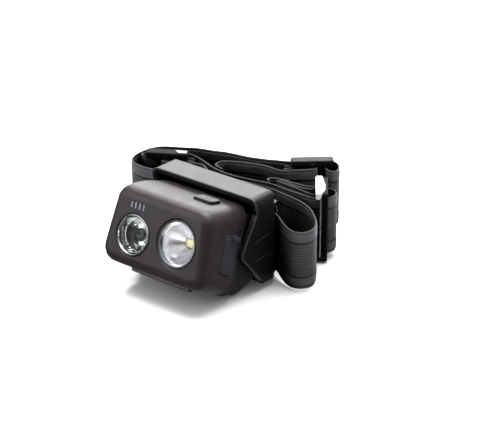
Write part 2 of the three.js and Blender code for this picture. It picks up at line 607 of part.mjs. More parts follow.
// step: spacing of cross sections; path: centre line as x, y, height of the lower edge
const STRAPS = {
  strap_right: { step: 2.2, path: [
    [28.5, 64.9, 2.8], [24.2, 65.2, 2.9], [21.4, 65, 2.9], [19.8, 62.5, 3], [21.3, 60.1, 2.9],
    [23.6, 59.75, 2.9], [26.6, 59.5, 2.9], [30.2, 58.1, 2.7], [33.8, 56.1, 2.1],
    [37.8, 53.9, 1.2], [42.2, 52.2, 0.5], [46.2, 51.6, 0.4], [49.8, 52.8, 0.4],
    [52.1, 55.8, 0.4], [52.4, 59.2, 0.4], [50.9, 63.4, 0.5], [47.4, 68.2, 1], [42.8, 72.4, 1.3],
    [37.4, 76.4, 1.8], [32.4, 79, 2], [26, 80.8, 2.2], [17, 81.7, 2.4], [6, 82, 2.6],
    [-5, 80.4, 2.9], [-18, 78.2, 3.2], [-31, 77.6, 3.4], [-41.74, 82.47, 3.5],
    [-49.04, 79.1, 3.6], [-54.61, 74.77, 3.7], [-57.91, 72.88, 3.7], [-60.15, 71.96, 3.7],
    [-61.97, 72.98, 3.7], [-62.04, 74.97, 3.7], [-60.12, 76.62, 3.7], [-56.74, 78.38, 3.7],
    [-50.41, 81.42, 3.7], [-47.09, 82.68, 3.7],
  ] },
  strap_left: { step: 2.2, path: [
    [-36, 64.4, 3.2], [-28.5, 65, 3.1], [-24.2, 65.2, 3], [-21.4, 65, 3], [-19.8, 62.5, 3],
    [-21.3, 60.1, 3], [-23.6, 59.75, 3], [-28, 60, 3.1], [-37, 60.9, 3.2], [-48, 61.2, 3.3],
    [-59.1, 60.9, 3.3], [-64.4, 60.2, 3.3], [-70.2, 60.9, 3.3], [-75, 63.2, 3.3],
    [-77.6, 66.8, 3.3], [-78.9, 71.4, 3.3], [-79.3, 77, 3.3], [-77.5, 84, 3.3],
    [-72, 90.2, 3.3], [-63, 95.6, 3.3], [-54.2, 100.4, 3.3], [-44.6, 103.9, 3.3],
    [-33.7, 106.2, 3.3], [-27.7, 107.3, 3.3], [-21.2, 109.3, 3.3], [-13.5, 113, 3.3],
    [-9.28, 114.44, 3.5], [-3.86, 118.89, 3.6], [1.42, 123.49, 3.7], [6.56, 128.24, 3.7],
    [9.93, 131.07, 3.6], [12.91, 131.1, 3.5], [15.79, 128.86, 3.4], [18.49, 125.63, 3.2],
    [19.77, 122.19, 3.2], [18.81, 119.68, 3.3], [15.98, 119.51, 3.4], [12.73, 121.41, 3.5],
    [9.36, 122.25, 3.6], [6.25, 120.47, 3.7], [2.28, 116.66, 3.7], [-2.14, 112.6, 3.7],
    [-5.81, 109.21, 3.7],
  ] },
  strap_adjust: { step: 2.2, path: [
    [-49.09, 85.1, 3.7], [-53.4, 82.56, 3.7], [-57.71, 80.02, 3.7], [-64.6, 75.95, 3.7],
    [-69.76, 72.9, 3.7], [-73.07, 71.42, 3.7], [-76.57, 72.83, 3.7], [-74.9, 77.4, 3.5],
    [-71.4, 83.4, 3.4], [-66, 87.8, 3.3], [-59.2, 89.9, 3.3], [-54, 89.6, 3.3],
    [-48.1, 88, 3.3], [-42.2, 86.2, 3.3], [-34.6, 83.7, 3.3], [-28, 82.4, 3.3],
    [-20.2, 82.2, 3.3], [-9.9, 83.6, 3.3], [-1.7, 85.2, 3.3], [6, 85.9, 3.3], [17.6, 85.6, 3.3],
    [26.4, 85.5, 3.3], [31.6, 86.5, 3.4], [35.3, 88.6, 3.5], [38.2, 91.2, 3.5], [38.9, 95, 3.5],
    [37, 98.9, 3.5], [33.6, 100.6, 3.5], [30.2, 99.8, 3.5], [27, 97.9, 3.5], [23.2, 96.4, 3.5],
    [18, 95.2, 3.4], [10.8, 94.6, 3.3], [4.2, 94.9, 3.3], [-0.6, 93.7, 3.3], [-2.4, 90.9, 3.3],
    [0.4, 88.4, 3.3],
  ] },
  strap_sewn_end: { step: 1.6, path: [
    [3.6, 90.9, 3.4], [9, 90.6, 3.4], [16, 89.9, 3.5], [23, 89.2, 3.5], [28.3, 88.9, 3.6],
    [31, 91, 3.7], [31.2, 93.6, 3.7], [28.8, 94.6, 3.7], [23, 92.9, 3.6], [16, 92.1, 3.5],
    [9, 92.6, 3.5], [3.9, 93, 3.4],
  ] },
  strap_top: { step: 2.0, path: [
    [-29.5, 85.2, 3.3], [-35.2, 86.6, 3.3], [-36.9, 90.4, 3.3], [-35.6, 94, 3.3],
    [-31.6, 96.6, 3.3], [-22.8, 100.6, 3.3], [-15.7, 103.6, 3.3], [-3.28, 103.51, 3.5],
    [0.33, 106.98, 3.5], [5.01, 110.75, 3.6], [8.44, 114.12, 3.7], [9.96, 116, 3.7],
    [9.51, 118.03, 3.7], [7.63, 118.68, 3.7], [5.49, 117.31, 3.7], [2.83, 114.59, 3.7],
    [-0.37, 110.68, 3.7], [-3.97, 105.73, 3.6],
  ] },
};
function ribbon({ path, step }) {
  const curve = new THREE.CatmullRomCurve3(
    path.map((point) => new THREE.Vector3(...point)), false, 'centripetal');
  const count = Math.round(curve.getLength() / step);
  return loft(Array.from({ length: count + 1 }, (_, i) => {
    const { x, y, z } = curve.getPointAt(i / count);
    const tangent = curve.getTangentAt(i / count);
    const length = Math.hypot(tangent.x, tangent.y);
    const dx = ((tangent.y / length) * STRAP_T) / 2;
    const dy = ((-tangent.x / length) * STRAP_T) / 2;
    const top = z + STRAP_W;
    return [[x + dx, y + dy, z], [x - dx, y - dy, z], [x - dx, y - dy, top], [x + dx, y + dy, top]];
  }));
}
for (const [name, strap] of Object.entries(STRAPS)) put(resting, name, ribbon(strap), WEBBING);

// ---------------------------------------------------------------- buckles
// centre and unit direction along the strap, seen from above
const BUCKLES = {
  left: { centre: [-61.2, 76.1], along: [0.8613, 0.5082] },
  right: { centre: [30.3, 93.2], along: [0.6112, -0.7915] },
  rear: { centre: [6.3, 118.2], along: [0.735, 0.678] },
};
const BAR_PITCH = 10.2;
// bars: offset along the strap, offset to the front of it
const BUCKLE_BARS = [[-BAR_PITCH, -3.5], [0, 2.25], [BAR_PITCH, -3.5]];
const RAIL_HALF = BAR_PITCH + 1.5;
const RAIL_SPANS = [[0.25, 3.1], [36.2, 39.4]]; // heights of the lower and upper rail

function buckle({ centre: [cx, cy], along: [ux, uy] }) {
  const [nx, ny] = [uy, -ux]; // to the front of the strap
  const frame = axes([ux, uy, 0], [0, 0, 1], [nx, ny, 0]);
  const rails = RAIL_SPANS.map(([z0, z1]) => {
    const outline = roundPoly(
      [[-RAIL_HALF, z0], [RAIL_HALF, z0], [RAIL_HALF, z1], [-RAIL_HALF, z1]],
      (z1 - z0) * 0.42, 4);
    return alongZ(outline, -4.5, 6.8, { bevel: 0.6 }).applyMatrix4(frame).translate(cx, cy, 0);
  });
  const bars = BUCKLE_BARS.map(([u, n]) =>
    cylinderZ(1.1, [2, 38], [cx + u * ux + n * nx, cy + u * uy + n * ny], 14));
  return join(...rails, ...bars);
}
for (const [place, layout] of Object.entries(BUCKLES))
  put(resting, `buckle_${place}`, buckle(layout), BUCKLE_PLASTIC);

export default root;
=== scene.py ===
import bpy, bmesh, math, json, random
import numpy as np
from mathutils import Vector, Matrix

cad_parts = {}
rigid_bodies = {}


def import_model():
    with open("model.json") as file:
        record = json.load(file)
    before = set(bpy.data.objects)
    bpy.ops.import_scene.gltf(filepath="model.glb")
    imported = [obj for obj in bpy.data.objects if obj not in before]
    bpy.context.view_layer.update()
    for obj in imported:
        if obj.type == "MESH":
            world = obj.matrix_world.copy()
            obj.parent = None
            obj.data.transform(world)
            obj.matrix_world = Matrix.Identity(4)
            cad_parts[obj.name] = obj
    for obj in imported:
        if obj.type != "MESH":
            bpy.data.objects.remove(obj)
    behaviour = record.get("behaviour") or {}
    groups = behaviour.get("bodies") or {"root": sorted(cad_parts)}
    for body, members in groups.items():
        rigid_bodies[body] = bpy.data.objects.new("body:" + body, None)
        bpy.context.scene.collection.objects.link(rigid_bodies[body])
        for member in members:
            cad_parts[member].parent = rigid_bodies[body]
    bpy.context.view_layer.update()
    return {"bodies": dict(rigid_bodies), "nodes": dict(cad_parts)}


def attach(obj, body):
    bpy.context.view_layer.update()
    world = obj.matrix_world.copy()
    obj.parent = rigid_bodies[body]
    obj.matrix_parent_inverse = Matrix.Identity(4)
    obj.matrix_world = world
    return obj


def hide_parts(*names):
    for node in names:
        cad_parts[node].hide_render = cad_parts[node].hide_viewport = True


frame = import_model()
NODES = frame["nodes"]
MM = 0.001
OY = 50.0                      # the row origin lies 50 mm behind the lamp face
LEAN = math.radians(18.04)
FACE_Z = 33.5
rng = random.Random(7)

# strap centre lines: x, y, lower edge height, in mm from the lamp face
PATHS = {
    'strap_right': [[28.50, 64.90, 2.8], [24.20, 65.20, 2.9], [21.40, 65.00, 2.9], [19.80, 62.50, 3.0], [21.30, 60.10, 2.9], [23.60, 59.75, 2.9], [26.60, 59.50, 2.9], [30.20, 58.10, 2.7], [33.80, 56.10, 2.1], [37.80, 53.90, 1.2], [42.20, 52.20, 0.5], [46.20, 51.60, 0.4], [49.80, 52.80, 0.4], [52.10, 55.80, 0.4], [52.40, 59.20, 0.4], [50.90, 63.40, 0.5], [47.40, 68.20, 1.0], [42.80, 72.40, 1.3], [37.40, 76.40, 1.8], [32.40, 79.00, 2.0], [26.00, 80.80, 2.2], [17.00, 81.70, 2.4], [6.00, 82.00, 2.6], [-5.00, 80.40, 2.9], [-18.00, 78.20, 3.2], [-31.00, 77.60, 3.4], [-41.74, 82.47, 3.5], [-49.04, 79.10, 3.6], [-54.61, 74.77, 3.7], [-57.91, 72.88, 3.7], [-60.15, 71.96, 3.7], [-61.97, 72.98, 3.7], [-62.04, 74.97, 3.7], [-60.12, 76.62, 3.7], [-56.74, 78.38, 3.7], [-50.41, 81.42, 3.7], [-47.09, 82.68, 3.7]],
    'strap_left': [[-36.00, 64.40, 3.2], [-28.50, 65.00, 3.1], [-24.20, 65.20, 3.0], [-21.40, 65.00, 3.0], [-19.80, 62.50, 3.0], [-21.30, 60.10, 3.0], [-23.60, 59.75, 3.0], [-28.00, 60.00, 3.1], [-37.00, 60.90, 3.2], [-48.00, 61.20, 3.3], [-59.10, 60.90, 3.3], [-64.40, 60.20, 3.3], [-70.20, 60.90, 3.3], [-75.00, 63.20, 3.3], [-77.60, 66.80, 3.3], [-78.90, 71.40, 3.3], [-79.30, 77.00, 3.3], [-77.50, 84.00, 3.3], [-72.00, 90.20, 3.3], [-63.00, 95.60, 3.3], [-54.20, 100.40, 3.3], [-44.60, 103.90, 3.3], [-33.70, 106.20, 3.3], [-27.70, 107.30, 3.3], [-21.20, 109.30, 3.3], [-13.50, 113.00, 3.3], [-9.28, 114.44, 3.5], [-3.86, 118.89, 3.6], [1.42, 123.49, 3.7], [6.56, 128.24, 3.7], [9.93, 131.07, 3.6], [12.91, 131.10, 3.5], [15.79, 128.86, 3.4], [18.49, 125.63, 3.2], [19.77, 122.19, 3.2], [18.81, 119.68, 3.3], [15.98, 119.51, 3.4], [12.73, 121.41, 3.5], [9.36, 122.25, 3.6], [6.25, 120.47, 3.7], [2.28, 116.66, 3.7], [-2.14, 112.60, 3.7], [-5.81, 109.21, 3.7]],
    'strap_adjust': [[-49.09, 85.10, 3.7], [-53.40, 82.56, 3.7], [-57.71, 80.02, 3.7], [-64.60, 75.95, 3.7], [-69.76, 72.90, 3.7], [-73.07, 71.42, 3.7], [-76.57, 72.83, 3.7], [-74.90, 77.40, 3.5], [-71.40, 83.40, 3.4], [-66.00, 87.80, 3.3], [-59.20, 89.90, 3.3], [-54.00, 89.60, 3.3], [-48.10, 88.00, 3.3], [-42.20, 86.20, 3.3], [-34.60, 83.70, 3.3], [-28.00, 82.40, 3.3], [-20.20, 82.20, 3.3], [-9.90, 83.60, 3.3], [-1.70, 85.20, 3.3], [6.00, 85.90, 3.3], [17.60, 85.60, 3.3], [26.40, 85.50, 3.3], [31.60, 86.50, 3.4], [35.30, 88.60, 3.5], [38.20, 91.20, 3.5], [38.90, 95.00, 3.5], [37.00, 98.90, 3.5], [33.60, 100.60, 3.5], [30.20, 99.80, 3.5], [27.00, 97.90, 3.5], [23.20, 96.40, 3.5], [18.00, 95.20, 3.4], [10.80, 94.60, 3.3], [4.20, 94.90, 3.3], [-0.60, 93.70, 3.3], [-2.40, 90.90, 3.3], [0.40, 88.40, 3.3]],
    'strap_sewn_end': [[3.60, 90.90, 3.4], [9.00, 90.60, 3.4], [16.00, 89.90, 3.5], [23.00, 89.20, 3.5], [28.30, 88.90, 3.6], [31.00, 91.00, 3.7], [31.20, 93.60, 3.7], [28.80, 94.60, 3.7], [23.00, 92.90, 3.6], [16.00, 92.10, 3.5], [9.00, 92.60, 3.5], [3.90, 93.00, 3.4]],
    'strap_top': [[-29.50, 85.20, 3.3], [-35.20, 86.60, 3.3], [-36.90, 90.40, 3.3], [-35.60, 94.00, 3.3], [-31.60, 96.60, 3.3], [-22.80, 100.60, 3.3], [-15.70, 103.60, 3.3], [-3.28, 103.51, 3.5], [0.33, 106.98, 3.5], [5.01, 110.75, 3.6], [8.44, 114.12, 3.7], [9.96, 116.00, 3.7], [9.51, 118.03, 3.7], [7.63, 118.68, 3.7], [5.49, 117.31, 3.7], [2.83, 114.59, 3.7], [-0.37, 110.68, 3.7], [-3.97, 105.73, 3.6]],
}
BUCKLES = {"buckle_left": ((-61.2, 76.1), (0.8613, 0.5082)),
           "buckle_right": ((30.3, 93.2), (0.6112, -0.7915)),
           "buckle_rear": ((6.3, 118.2), (0.735, 0.678))}


def F(x, y, z):                # mm in the resting layout to row frame metres
    return Vector((x * MM, (y - OY) * MM, z * MM))


def H(x, y, z):                # mm in the lamp head's own layout to row frame metres
    c, s = math.cos(LEAN), math.sin(LEAN)
    return F(x, c * y + s * z, -s * y + c * z + FACE_Z)


# ------------------------------------------------------------------ materials
W_WEB = 32.0                   # webbing width in mm
def new_mat(name):
    m = bpy.data.materials.new(name)
    m.use_nodes = True
    nt = m.node_tree
    nt.nodes.clear()
    out = nt.nodes.new("ShaderNodeOutputMaterial")
    b = nt.nodes.new("ShaderNodeBsdfPrincipled")
    nt.links.new(b.outputs[0], out.inputs[0])
    return m, nt, b


def coords(nt, scale=(1, 1, 1), kind="Object"):
    tc = nt.nodes.new("ShaderNodeTexCoord")
    mp = nt.nodes.new("ShaderNodeMapping")
    mp.inputs["Scale"].default_value = scale
    nt.links.new(tc.outputs[kind], mp.inputs[0])
    return mp.outputs[0]


def noise(nt, vec, scale, detail=4, rough=0.6):
    n = nt.nodes.new("ShaderNodeTexNoise")
    n.inputs["Scale"].default_value = scale
    n.inputs["Detail"].default_value = detail
    n.inputs["Roughness"].default_value = rough
    nt.links.new(vec, n.inputs["Vector"])
    return n.outputs[0]


def ramp(nt, val, stops):
    r = nt.nodes.new("ShaderNodeValToRGB")
    r.color_ramp.elements[0].position = stops[0][0]
    r.color_ramp.elements[0].color = stops[0][1]
    r.color_ramp.elements[1].position = stops[-1][0]
    r.color_ramp.elements[1].color = stops[-1][1]
    for p, c in stops[1:-1]:
        e = r.color_ramp.elements.new(p)
        e.color = c
    nt.links.new(val, r.inputs[0])
    return r.outputs[0]


def span(nt, val, lo, hi):
    m = nt.nodes.new("ShaderNodeMapRange")
    m.inputs["To Min"].default_value = lo
    m.inputs["To Max"].default_value = hi
    nt.links.new(val, m.inputs["Value"])
    return m.outputs[0]


def bump(nt, b, val, strength, dist=0.0001, prev=None):
    n = nt.nodes.new("ShaderNodeBump")
    n.inputs["Strength"].default_value = strength
    n.inputs["Distance"].default_value = dist
    nt.links.new(val, n.inputs["Height"])
    if prev is not None:
        nt.links.new(prev, n.inputs["Normal"])
    nt.links.new(n.outputs[0], b.inputs["Normal"])
    return n.outputs[0]


def g(v, a=1.0):
    return (v[0], v[1], v[2], a) if isinstance(v, (tuple, list)) else (v, v, v, a)


def plastic(name, col, rough, grain=1800, depth=0.25, spread=0.08, coat=0.0, blotch=0.12, sheen=0.0, metallic=0.0, stretch=(1, 1, 1), spec=0.5):
    """Moulded surface: fine grain in the bump, slow changes in colour and roughness."""
    m, nt, b = new_mat(name)
    v = coords(nt, stretch)
    slow = noise(nt, v, 45, 3)
    fine = noise(nt, v, grain, 2, 0.5)
    lo = tuple(c * (1 - blotch) for c in col)
    hi = tuple(min(1, c * (1 + blotch)) for c in col)
    nt.links.new(ramp(nt, slow, [(0.35, g(lo)), (0.65, g(hi))]), b.inputs["Base Color"])
    nt.links.new(span(nt, noise(nt, v, 130, 5), rough - spread, rough + spread), b.inputs["Roughness"])
    b.inputs["Metallic"].default_value = metallic
    b.inputs["Specular IOR Level"].default_value = spec
    b.inputs["Coat Weight"].default_value = coat
    b.inputs["Coat Roughness"].default_value = 0.15
    b.inputs["Sheen Weight"].default_value = sheen
    b.inputs["Sheen Roughness"].default_value = 0.4
    bump(nt, b, fine, depth, 0.00004)
    return m


def metal(name, col, rough, turn=0.15):
    m, nt, b = new_mat(name)
    v = coords(nt)
    b.inputs["Base Color"].default_value = g(col)
    b.inputs["Metallic"].default_value = 1.0
    nt.links.new(span(nt, noise(nt, v, 420, 4), max(0.02, rough - 0.04), rough + 0.06), b.inputs["Roughness"])
    bump(nt, b, noise(nt, v, 900, 2), turn, 0.00001)
    return m


def glass(name, tint, rough=0.0, ior=1.49):
    m, nt, b = new_mat(name)
    v = coords(nt)
    b.inputs["Base Color"].default_value = g(tint)
    b.inputs["Transmission Weight"].default_value = 1.0
    b.inputs["IOR"].default_value = ior
    nt.links.new(span(nt, noise(nt, v, 260, 3), rough, rough + 0.015), b.inputs["Roughness"])
    return m


def web_material(name, base=(0.036, 0.034, 0.038)):
    """Ribbed elastic webbing. UV holds mm along the strap and mm across it."""
    m, nt, b = new_mat(name)
    uv = coords(nt, (1, 1, 1), "UV")
    sep = nt.nodes.new("ShaderNodeSeparateXYZ")
    nt.links.new(uv, sep.inputs[0])

    def math_node(op, a, c=None):
        k = nt.nodes.new("ShaderNodeMath")
        k.operation = op
        for i, q in enumerate((a, c)):
            if q is None:
                continue
            if isinstance(q, (int, float)):
                k.inputs[i].default_value = q
            else:
                nt.links.new(q, k.inputs[i])
        return k.outputs[0]
    # threads across (the weft picks) and along (the rubber cords)
    weft = math_node("SINE", math_node("MULTIPLY", sep.outputs[0], 2 * math.pi / 0.62))
    cord = math_node("SINE", math_node("MULTIPLY", sep.outputs[1], 2 * math.pi / 0.85))
    weave = math_node("ADD", math_node("MULTIPLY", weft, 0.5), math_node("MULTIPLY", cord, 0.35))
    fuzz = noise(nt, coords(nt, (2.2, 6.0, 1), "UV"), 3.0, 5, 0.7)
    slow = noise(nt, coords(nt, (0.05, 0.12, 1), "UV"), 2.0, 3)
    lo, hi = tuple(c * 0.72 for c in base), tuple(c * 1.35 for c in base)
    mix = nt.nodes.new("ShaderNodeMix")
    mix.data_type = "RGBA"
    mix.inputs[0].default_value = 0.5
    nt.links.new(ramp(nt, fuzz, [(0.3, g(lo)), (0.75, g(hi))]), mix.inputs[6])
    nt.links.new(ramp(nt, slow, [(0.3, g(lo)), (0.7, g(hi))]), mix.inputs[7])
    nt.links.new(span(nt, fuzz, 0.62, 0.82), b.inputs["Roughness"])
    b.inputs["Sheen Weight"].default_value = 0.35
    b.inputs["Sheen Roughness"].default_value = 0.35
    b.inputs["Sheen Tint"].default_value = (0.75, 0.74, 0.8, 1)
    # painted shade: ambient occlusion darkens the webbing colour in crevices and inside the loops, and lifts open
    # surfaces up to 1.4 times
    ao = nt.nodes.new("ShaderNodeAmbientOcclusion")
    ao.inputs["Distance"].default_value = 0.042
    ao.samples = 6
    painted_shade = nt.nodes.new("ShaderNodeMix")
    painted_shade.data_type = "RGBA"
    painted_shade.blend_type = "MULTIPLY"
    painted_shade.inputs[0].default_value = 1.0
    nt.links.new(mix.outputs[2], painted_shade.inputs[6])
    nt.links.new(ramp(nt, ao.outputs["AO"], [(0.24, g(0.0)), (0.36, g(0.08)), (0.50, g(1.4))]), painted_shade.inputs[7])
    # lighter rolled selvedges, darker woven grooves
    e0 = math_node("MINIMUM", sep.outputs[1], math_node("SUBTRACT", W_WEB, sep.outputs[1]))
    ribs = math_node("ADD", math_node("MULTIPLY", math_node("COSINE", math_node("MULTIPLY", math_node("SUBTRACT", sep.outputs[1], W_WEB / 2), 2 * math.pi / 1.6)), 0.32), 0.95)
    edge = ramp(nt, math_node("MULTIPLY", e0, 1.0 / 16.0), [(0.0, g(0.9)), (1.0 / 16, g(1.2)), (1.8 / 16, g(1.5)), (5.9 / 16, g(1.35)), (6.1 / 16, g(0.15)), (6.6 / 16, g(0.15)), (6.9 / 16, g(0.95)), (1.0, g(0.95))])
    tone = nt.nodes.new("ShaderNodeMix")
    tone.data_type = "RGBA"
    tone.blend_type = "MULTIPLY"
    tone.clamp_result = False
    tone.inputs[0].default_value = 1.0
    nt.links.new(painted_shade.outputs[2], tone.inputs[6])
    nt.links.new(edge, tone.inputs[7])
    lines = nt.nodes.new("ShaderNodeMix")
    lines.data_type = "RGBA"
    lines.blend_type = "MULTIPLY"
    nt.links.new(math_node("GREATER_THAN", e0, 6.8), lines.inputs[0])
    nt.links.new(tone.outputs[2], lines.inputs[6])
    nt.links.new(ribs, lines.inputs[7])
    nt.links.new(lines.outputs[2], b.inputs["Base Color"])
    # painted shade: specular and sheen fade with ambient occlusion
    nt.links.new(math_node("MULTIPLY", math_node("POWER", ao.outputs["AO"], 3.0), 0.60), b.inputs["Specular IOR Level"])
    nt.links.new(math_node("MULTIPLY", math_node("POWER", ao.outputs["AO"], 3.0), 0.50), b.inputs["Sheen Weight"])
    n1 = bump(nt, b, weave, 0.35, 0.00008)
    bump(nt, b, fuzz, 0.35, 0.00006, n1)
    return m


M = {}
M["shell"] = plastic("soft_touch_shell", (0.0185, 0.0122, 0.0158), 0.43, grain=2600, depth=0.18, coat=0.0, sheen=0.06)
M["rear"] = plastic("rear_shell_grain", (0.011, 0.010, 0.011), 0.52, grain=1900, depth=0.35)
M["bracket"] = plastic("bracket_grain", (0.0034, 0.0028, 0.0030), 0.38, grain=1300, depth=0.35, blotch=0.18, stretch=(1, 3.2, 1), spec=0.34)
# painted highlight: the edge bead is coloured much lighter than the bracket plastic
M["bead"] = plastic("bracket_edge_painted_highlight", (0.030, 0.030, 0.032), 0.30, grain=1300, depth=0.1)
M["seal"] = plastic("seal_rubber", (0.012, 0.012, 0.012), 0.75, grain=900, depth=0.2)
M["cover"] = plastic("cover_rubber", (0.022, 0.0215, 0.029), 0.62, grain=2200, depth=0.25)
M["button"] = plastic("button_rubber", (0.014, 0.014, 0.015), 0.42, grain=2400, depth=0.2)
M["buckle_soft"] = plastic("buckle_satin", (0.010, 0.010, 0.011), 0.36, grain=700, depth=0.15, spread=0.10)
# painted highlight: pale plastic standing in for the white reflection on the right buckle's rail
M["buckle_pale"] = plastic("pale_painted_highlight", (0.72, 0.73, 0.75), 0.22, grain=500, depth=0.06, blotch=0.05, coat=0.4)
# painted reflection: bluish grey for the glossy bar's reflected light
M["buckle_painted_reflection"] = plastic("buckle_painted_reflection", (0.16, 0.18, 0.21), 0.25, grain=500, depth=0.06, blotch=0.2, coat=0.3)
M["buckle_matte"] = plastic("buckle_matte", (0.004, 0.0035, 0.0038), 0.58, grain=900, depth=0.3, spec=0.3)
M["buckle_dull"] = plastic("buckle_dull", (0.004, 0.0035, 0.0038), 0.62, grain=900, depth=0.3, spec=0.10)
M["buckle"] = plastic("buckle_gloss", (0.010, 0.010, 0.011), 0.16, grain=500, depth=0.06, spread=0.05, coat=0.35)
M["chrome"] = metal("polished_ring", (0.88, 0.89, 0.90), 0.07)
M["ring"] = plastic("flood_ring", (0.16, 0.16, 0.17), 0.28, grain=900, depth=0.08, metallic=0.6)
# painted reflection: bluish tint for the light-blue line on the flood ring
M["ring_edge"] = metal("flood_ring_edge", (0.42, 0.50, 0.58), 0.22)
M["reflector"] = metal("reflector_metal", (0.90, 0.90, 0.92), 0.26, turn=0.5)
M["satin"] = metal("reflector_satin", (0.88, 0.89, 0.91), 0.30, turn=0.4)
M["pin"] = metal("ground_pin", (0.62, 0.62, 0.64), 0.3)
M["washer"] = plastic("washer_nylon", (0.62, 0.61, 0.56), 0.5)
M["board"] = plastic("board_white", (0.62, 0.62, 0.60), 0.4, grain=700, depth=0.1)
M["pcb"] = plastic("board_green", (0.02, 0.11, 0.05), 0.35, grain=600, depth=0.3)
M["switch"] = plastic("switch_black", (0.02, 0.02, 0.02), 0.4)
M["cell"] = plastic("cell_wrap", (0.04, 0.11, 0.22), 0.3, coat=0.3)
M["socket"] = metal("socket_steel", (0.72, 0.72, 0.74), 0.22)
M["pad"] = plastic("pad_cloth", (0.020, 0.020, 0.022), 0.85, grain=1500, depth=0.8, sheen=0.5)
M["lens"] = glass("lens_clear", (1.0, 1.0, 1.0), 0.0, 1.45)
# the optic is clear glass; its grey-green tint is painted shade that dims the view into the spot well
M["optic"] = glass("optic_shade_tint", (0.80, 0.86, 0.82), 0.0, 1.49)
M["web"] = web_material("elastic_webbing")
M["thread"] = plastic("sewing_thread", (0.030, 0.030, 0.032), 0.6, grain=3000, depth=0.5, sheen=0.3)
M["mark"] = plastic("printed_mark", (0.30, 0.30, 0.31), 0.55)
M["dark"] = plastic("spot_well", (0.010, 0.010, 0.010), 0.5)


def led_mat():
    m, nt, b = new_mat("led_phosphor")
    v = coords(nt)
    nt.links.new(ramp(nt, noise(nt, v, 1400, 3), [(0.3, (0.85, 0.76, 0.34, 1)), (0.7, (0.95, 0.90, 0.55, 1))]), b.inputs["Base Color"])
    b.inputs["Roughness"].default_value = 0.35
    b.inputs["Emission Color"].default_value = (1.0, 0.92, 0.50, 1)
    b.inputs["Emission Strength"].default_value = 0.35
    bump(nt, b, noise(nt, v, 2500, 2), 0.3, 0.00003)
    return m


def indicator_mat():
    m, nt, b = new_mat("indicator_guide")
    v = coords(nt)
    nt.links.new(ramp(nt, noise(nt, v, 500, 2), [(0.3, (0.16, 0.18, 0.22, 1)), (0.7, (0.28, 0.31, 0.37, 1))]), b.inputs["Base Color"])
    b.inputs["Roughness"].default_value = 0.3
    b.inputs["Subsurface Weight"].default_value = 0.2
    b.inputs["Emission Color"].default_value = (0.60, 0.72, 1.0, 1)
    b.inputs["Emission Strength"].default_value = 0.03
    return m


M["led"] = led_mat()
M["indicator"] = indicator_mat()
NODE_MAT = {"front_shell": "shell", "rear_shell": "rear", "housing_seal": "seal", "spot_bezel": "chrome", "spot_lens": "lens",
            "spot_optic": "optic", "spot_led": "led", "flood_bezel": "ring", "flood_lens": "lens", "flood_reflector": "reflector",
            "flood_led": "led", "led_board": "board", "indicator_guide": "indicator", "control_board": "pcb", "switch_board": "pcb",
            "tact_switch": "switch", "battery_cell": "cell", "charge_socket": "socket", "power_button": "button",
            "charge_cover": "cover", "hinge_pin_left": "pin", "hinge_pin_right": "pin", "hinge_washer_left": "washer",
            "hinge_washer_right": "washer", "bracket_frame": "bracket", "buckle_left": "buckle_dull", "buckle_right": "buckle_dull",
            "buckle_rear": "buckle_matte"}
for node, key in NODE_MAT.items():
    o = NODES[node]
    o.data.materials.clear()
    o.data.materials.append(M[key])


# ------------------------------------------------------------------ mesh helpers
def make(name, verts, faces, mat, body, uvs=None, smooth=True):
    me = bpy.data.meshes.new(name)
    me.from_pydata([tuple(v) for v in verts], [], [tuple(f) for f in faces])
    if uvs is not None:
        lay = me.uv_layers.new(name="UVMap")
        idx = np.empty(len(me.loops), dtype=np.int32)
        me.loops.foreach_get("vertex_index", idx)
        lay.data.foreach_set("uv", np.asarray(uvs, dtype=np.float32)[idx].ravel())
    me.polygons.foreach_set("use_smooth", [smooth] * len(me.polygons))
    me.materials.append(mat)
    me.validate()
    me.update()
    o = bpy.data.objects.new(name, me)
    bpy.context.scene.collection.objects.link(o)
    if body:
        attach(o, body)
    return o


def sample(path, step):
    P = np.array(path, float)
    Q = np.vstack([2 * P[0] - P[1], P, 2 * P[-1] - P[-2]])
    out = []
    for i in range(1, len(Q) - 2):
        p0, p1, p2, p3 = Q[i - 1], Q[i], Q[i + 1], Q[i + 2]
        t1 = np.linalg.norm(p1 - p0) ** .5
        t2 = t1 + np.linalg.norm(p2 - p1) ** .5
        t3 = t2 + np.linalg.norm(p3 - p2) ** .5
        n = max(3, int(np.ceil(np.linalg.norm(p2 - p1) / 0.25)))
        for j in range(n):
            t = t1 + (t2 - t1) * j / n
            A1 = (t1 - t) / t1 * p0 + t / t1 * p1
            A2 = (t2 - t) / (t2 - t1) * p1 + (t - t1) / (t2 - t1) * p2
            A3 = (t3 - t) / (t3 - t2) * p2 + (t - t2) / (t3 - t2) * p3
            B1 = (t2 - t) / t2 * A1 + t / t2 * A2
            B2 = (t3 - t) / (t3 - t1) * A2 + (t - t1) / (t3 - t1) * A3
            out.append((t2 - t) / (t2 - t1) * B1 + (t - t1) / (t2 - t1) * B2)
    out.append(P[-1])
    A = np.array(out)
    s = np.concatenate([[0], np.cumsum(np.linalg.norm(np.diff(A[:, :2], axis=0), axis=1))])
    n = max(2, int(round(s[-1] / step)))
    u = np.linspace(0, s[-1], n + 1)
    B = np.stack([np.interp(u, s, A[:, k]) for k in range(3)], axis=1)
    T = np.gradient(B[:, :2], axis=0)
    T /= np.linalg.norm(T, axis=1)[:, None]
    N = np.stack([T[:, 1], -T[:, 0]], axis=1)
    return B, T, N, u


W, BAND = 32.0, 6.2


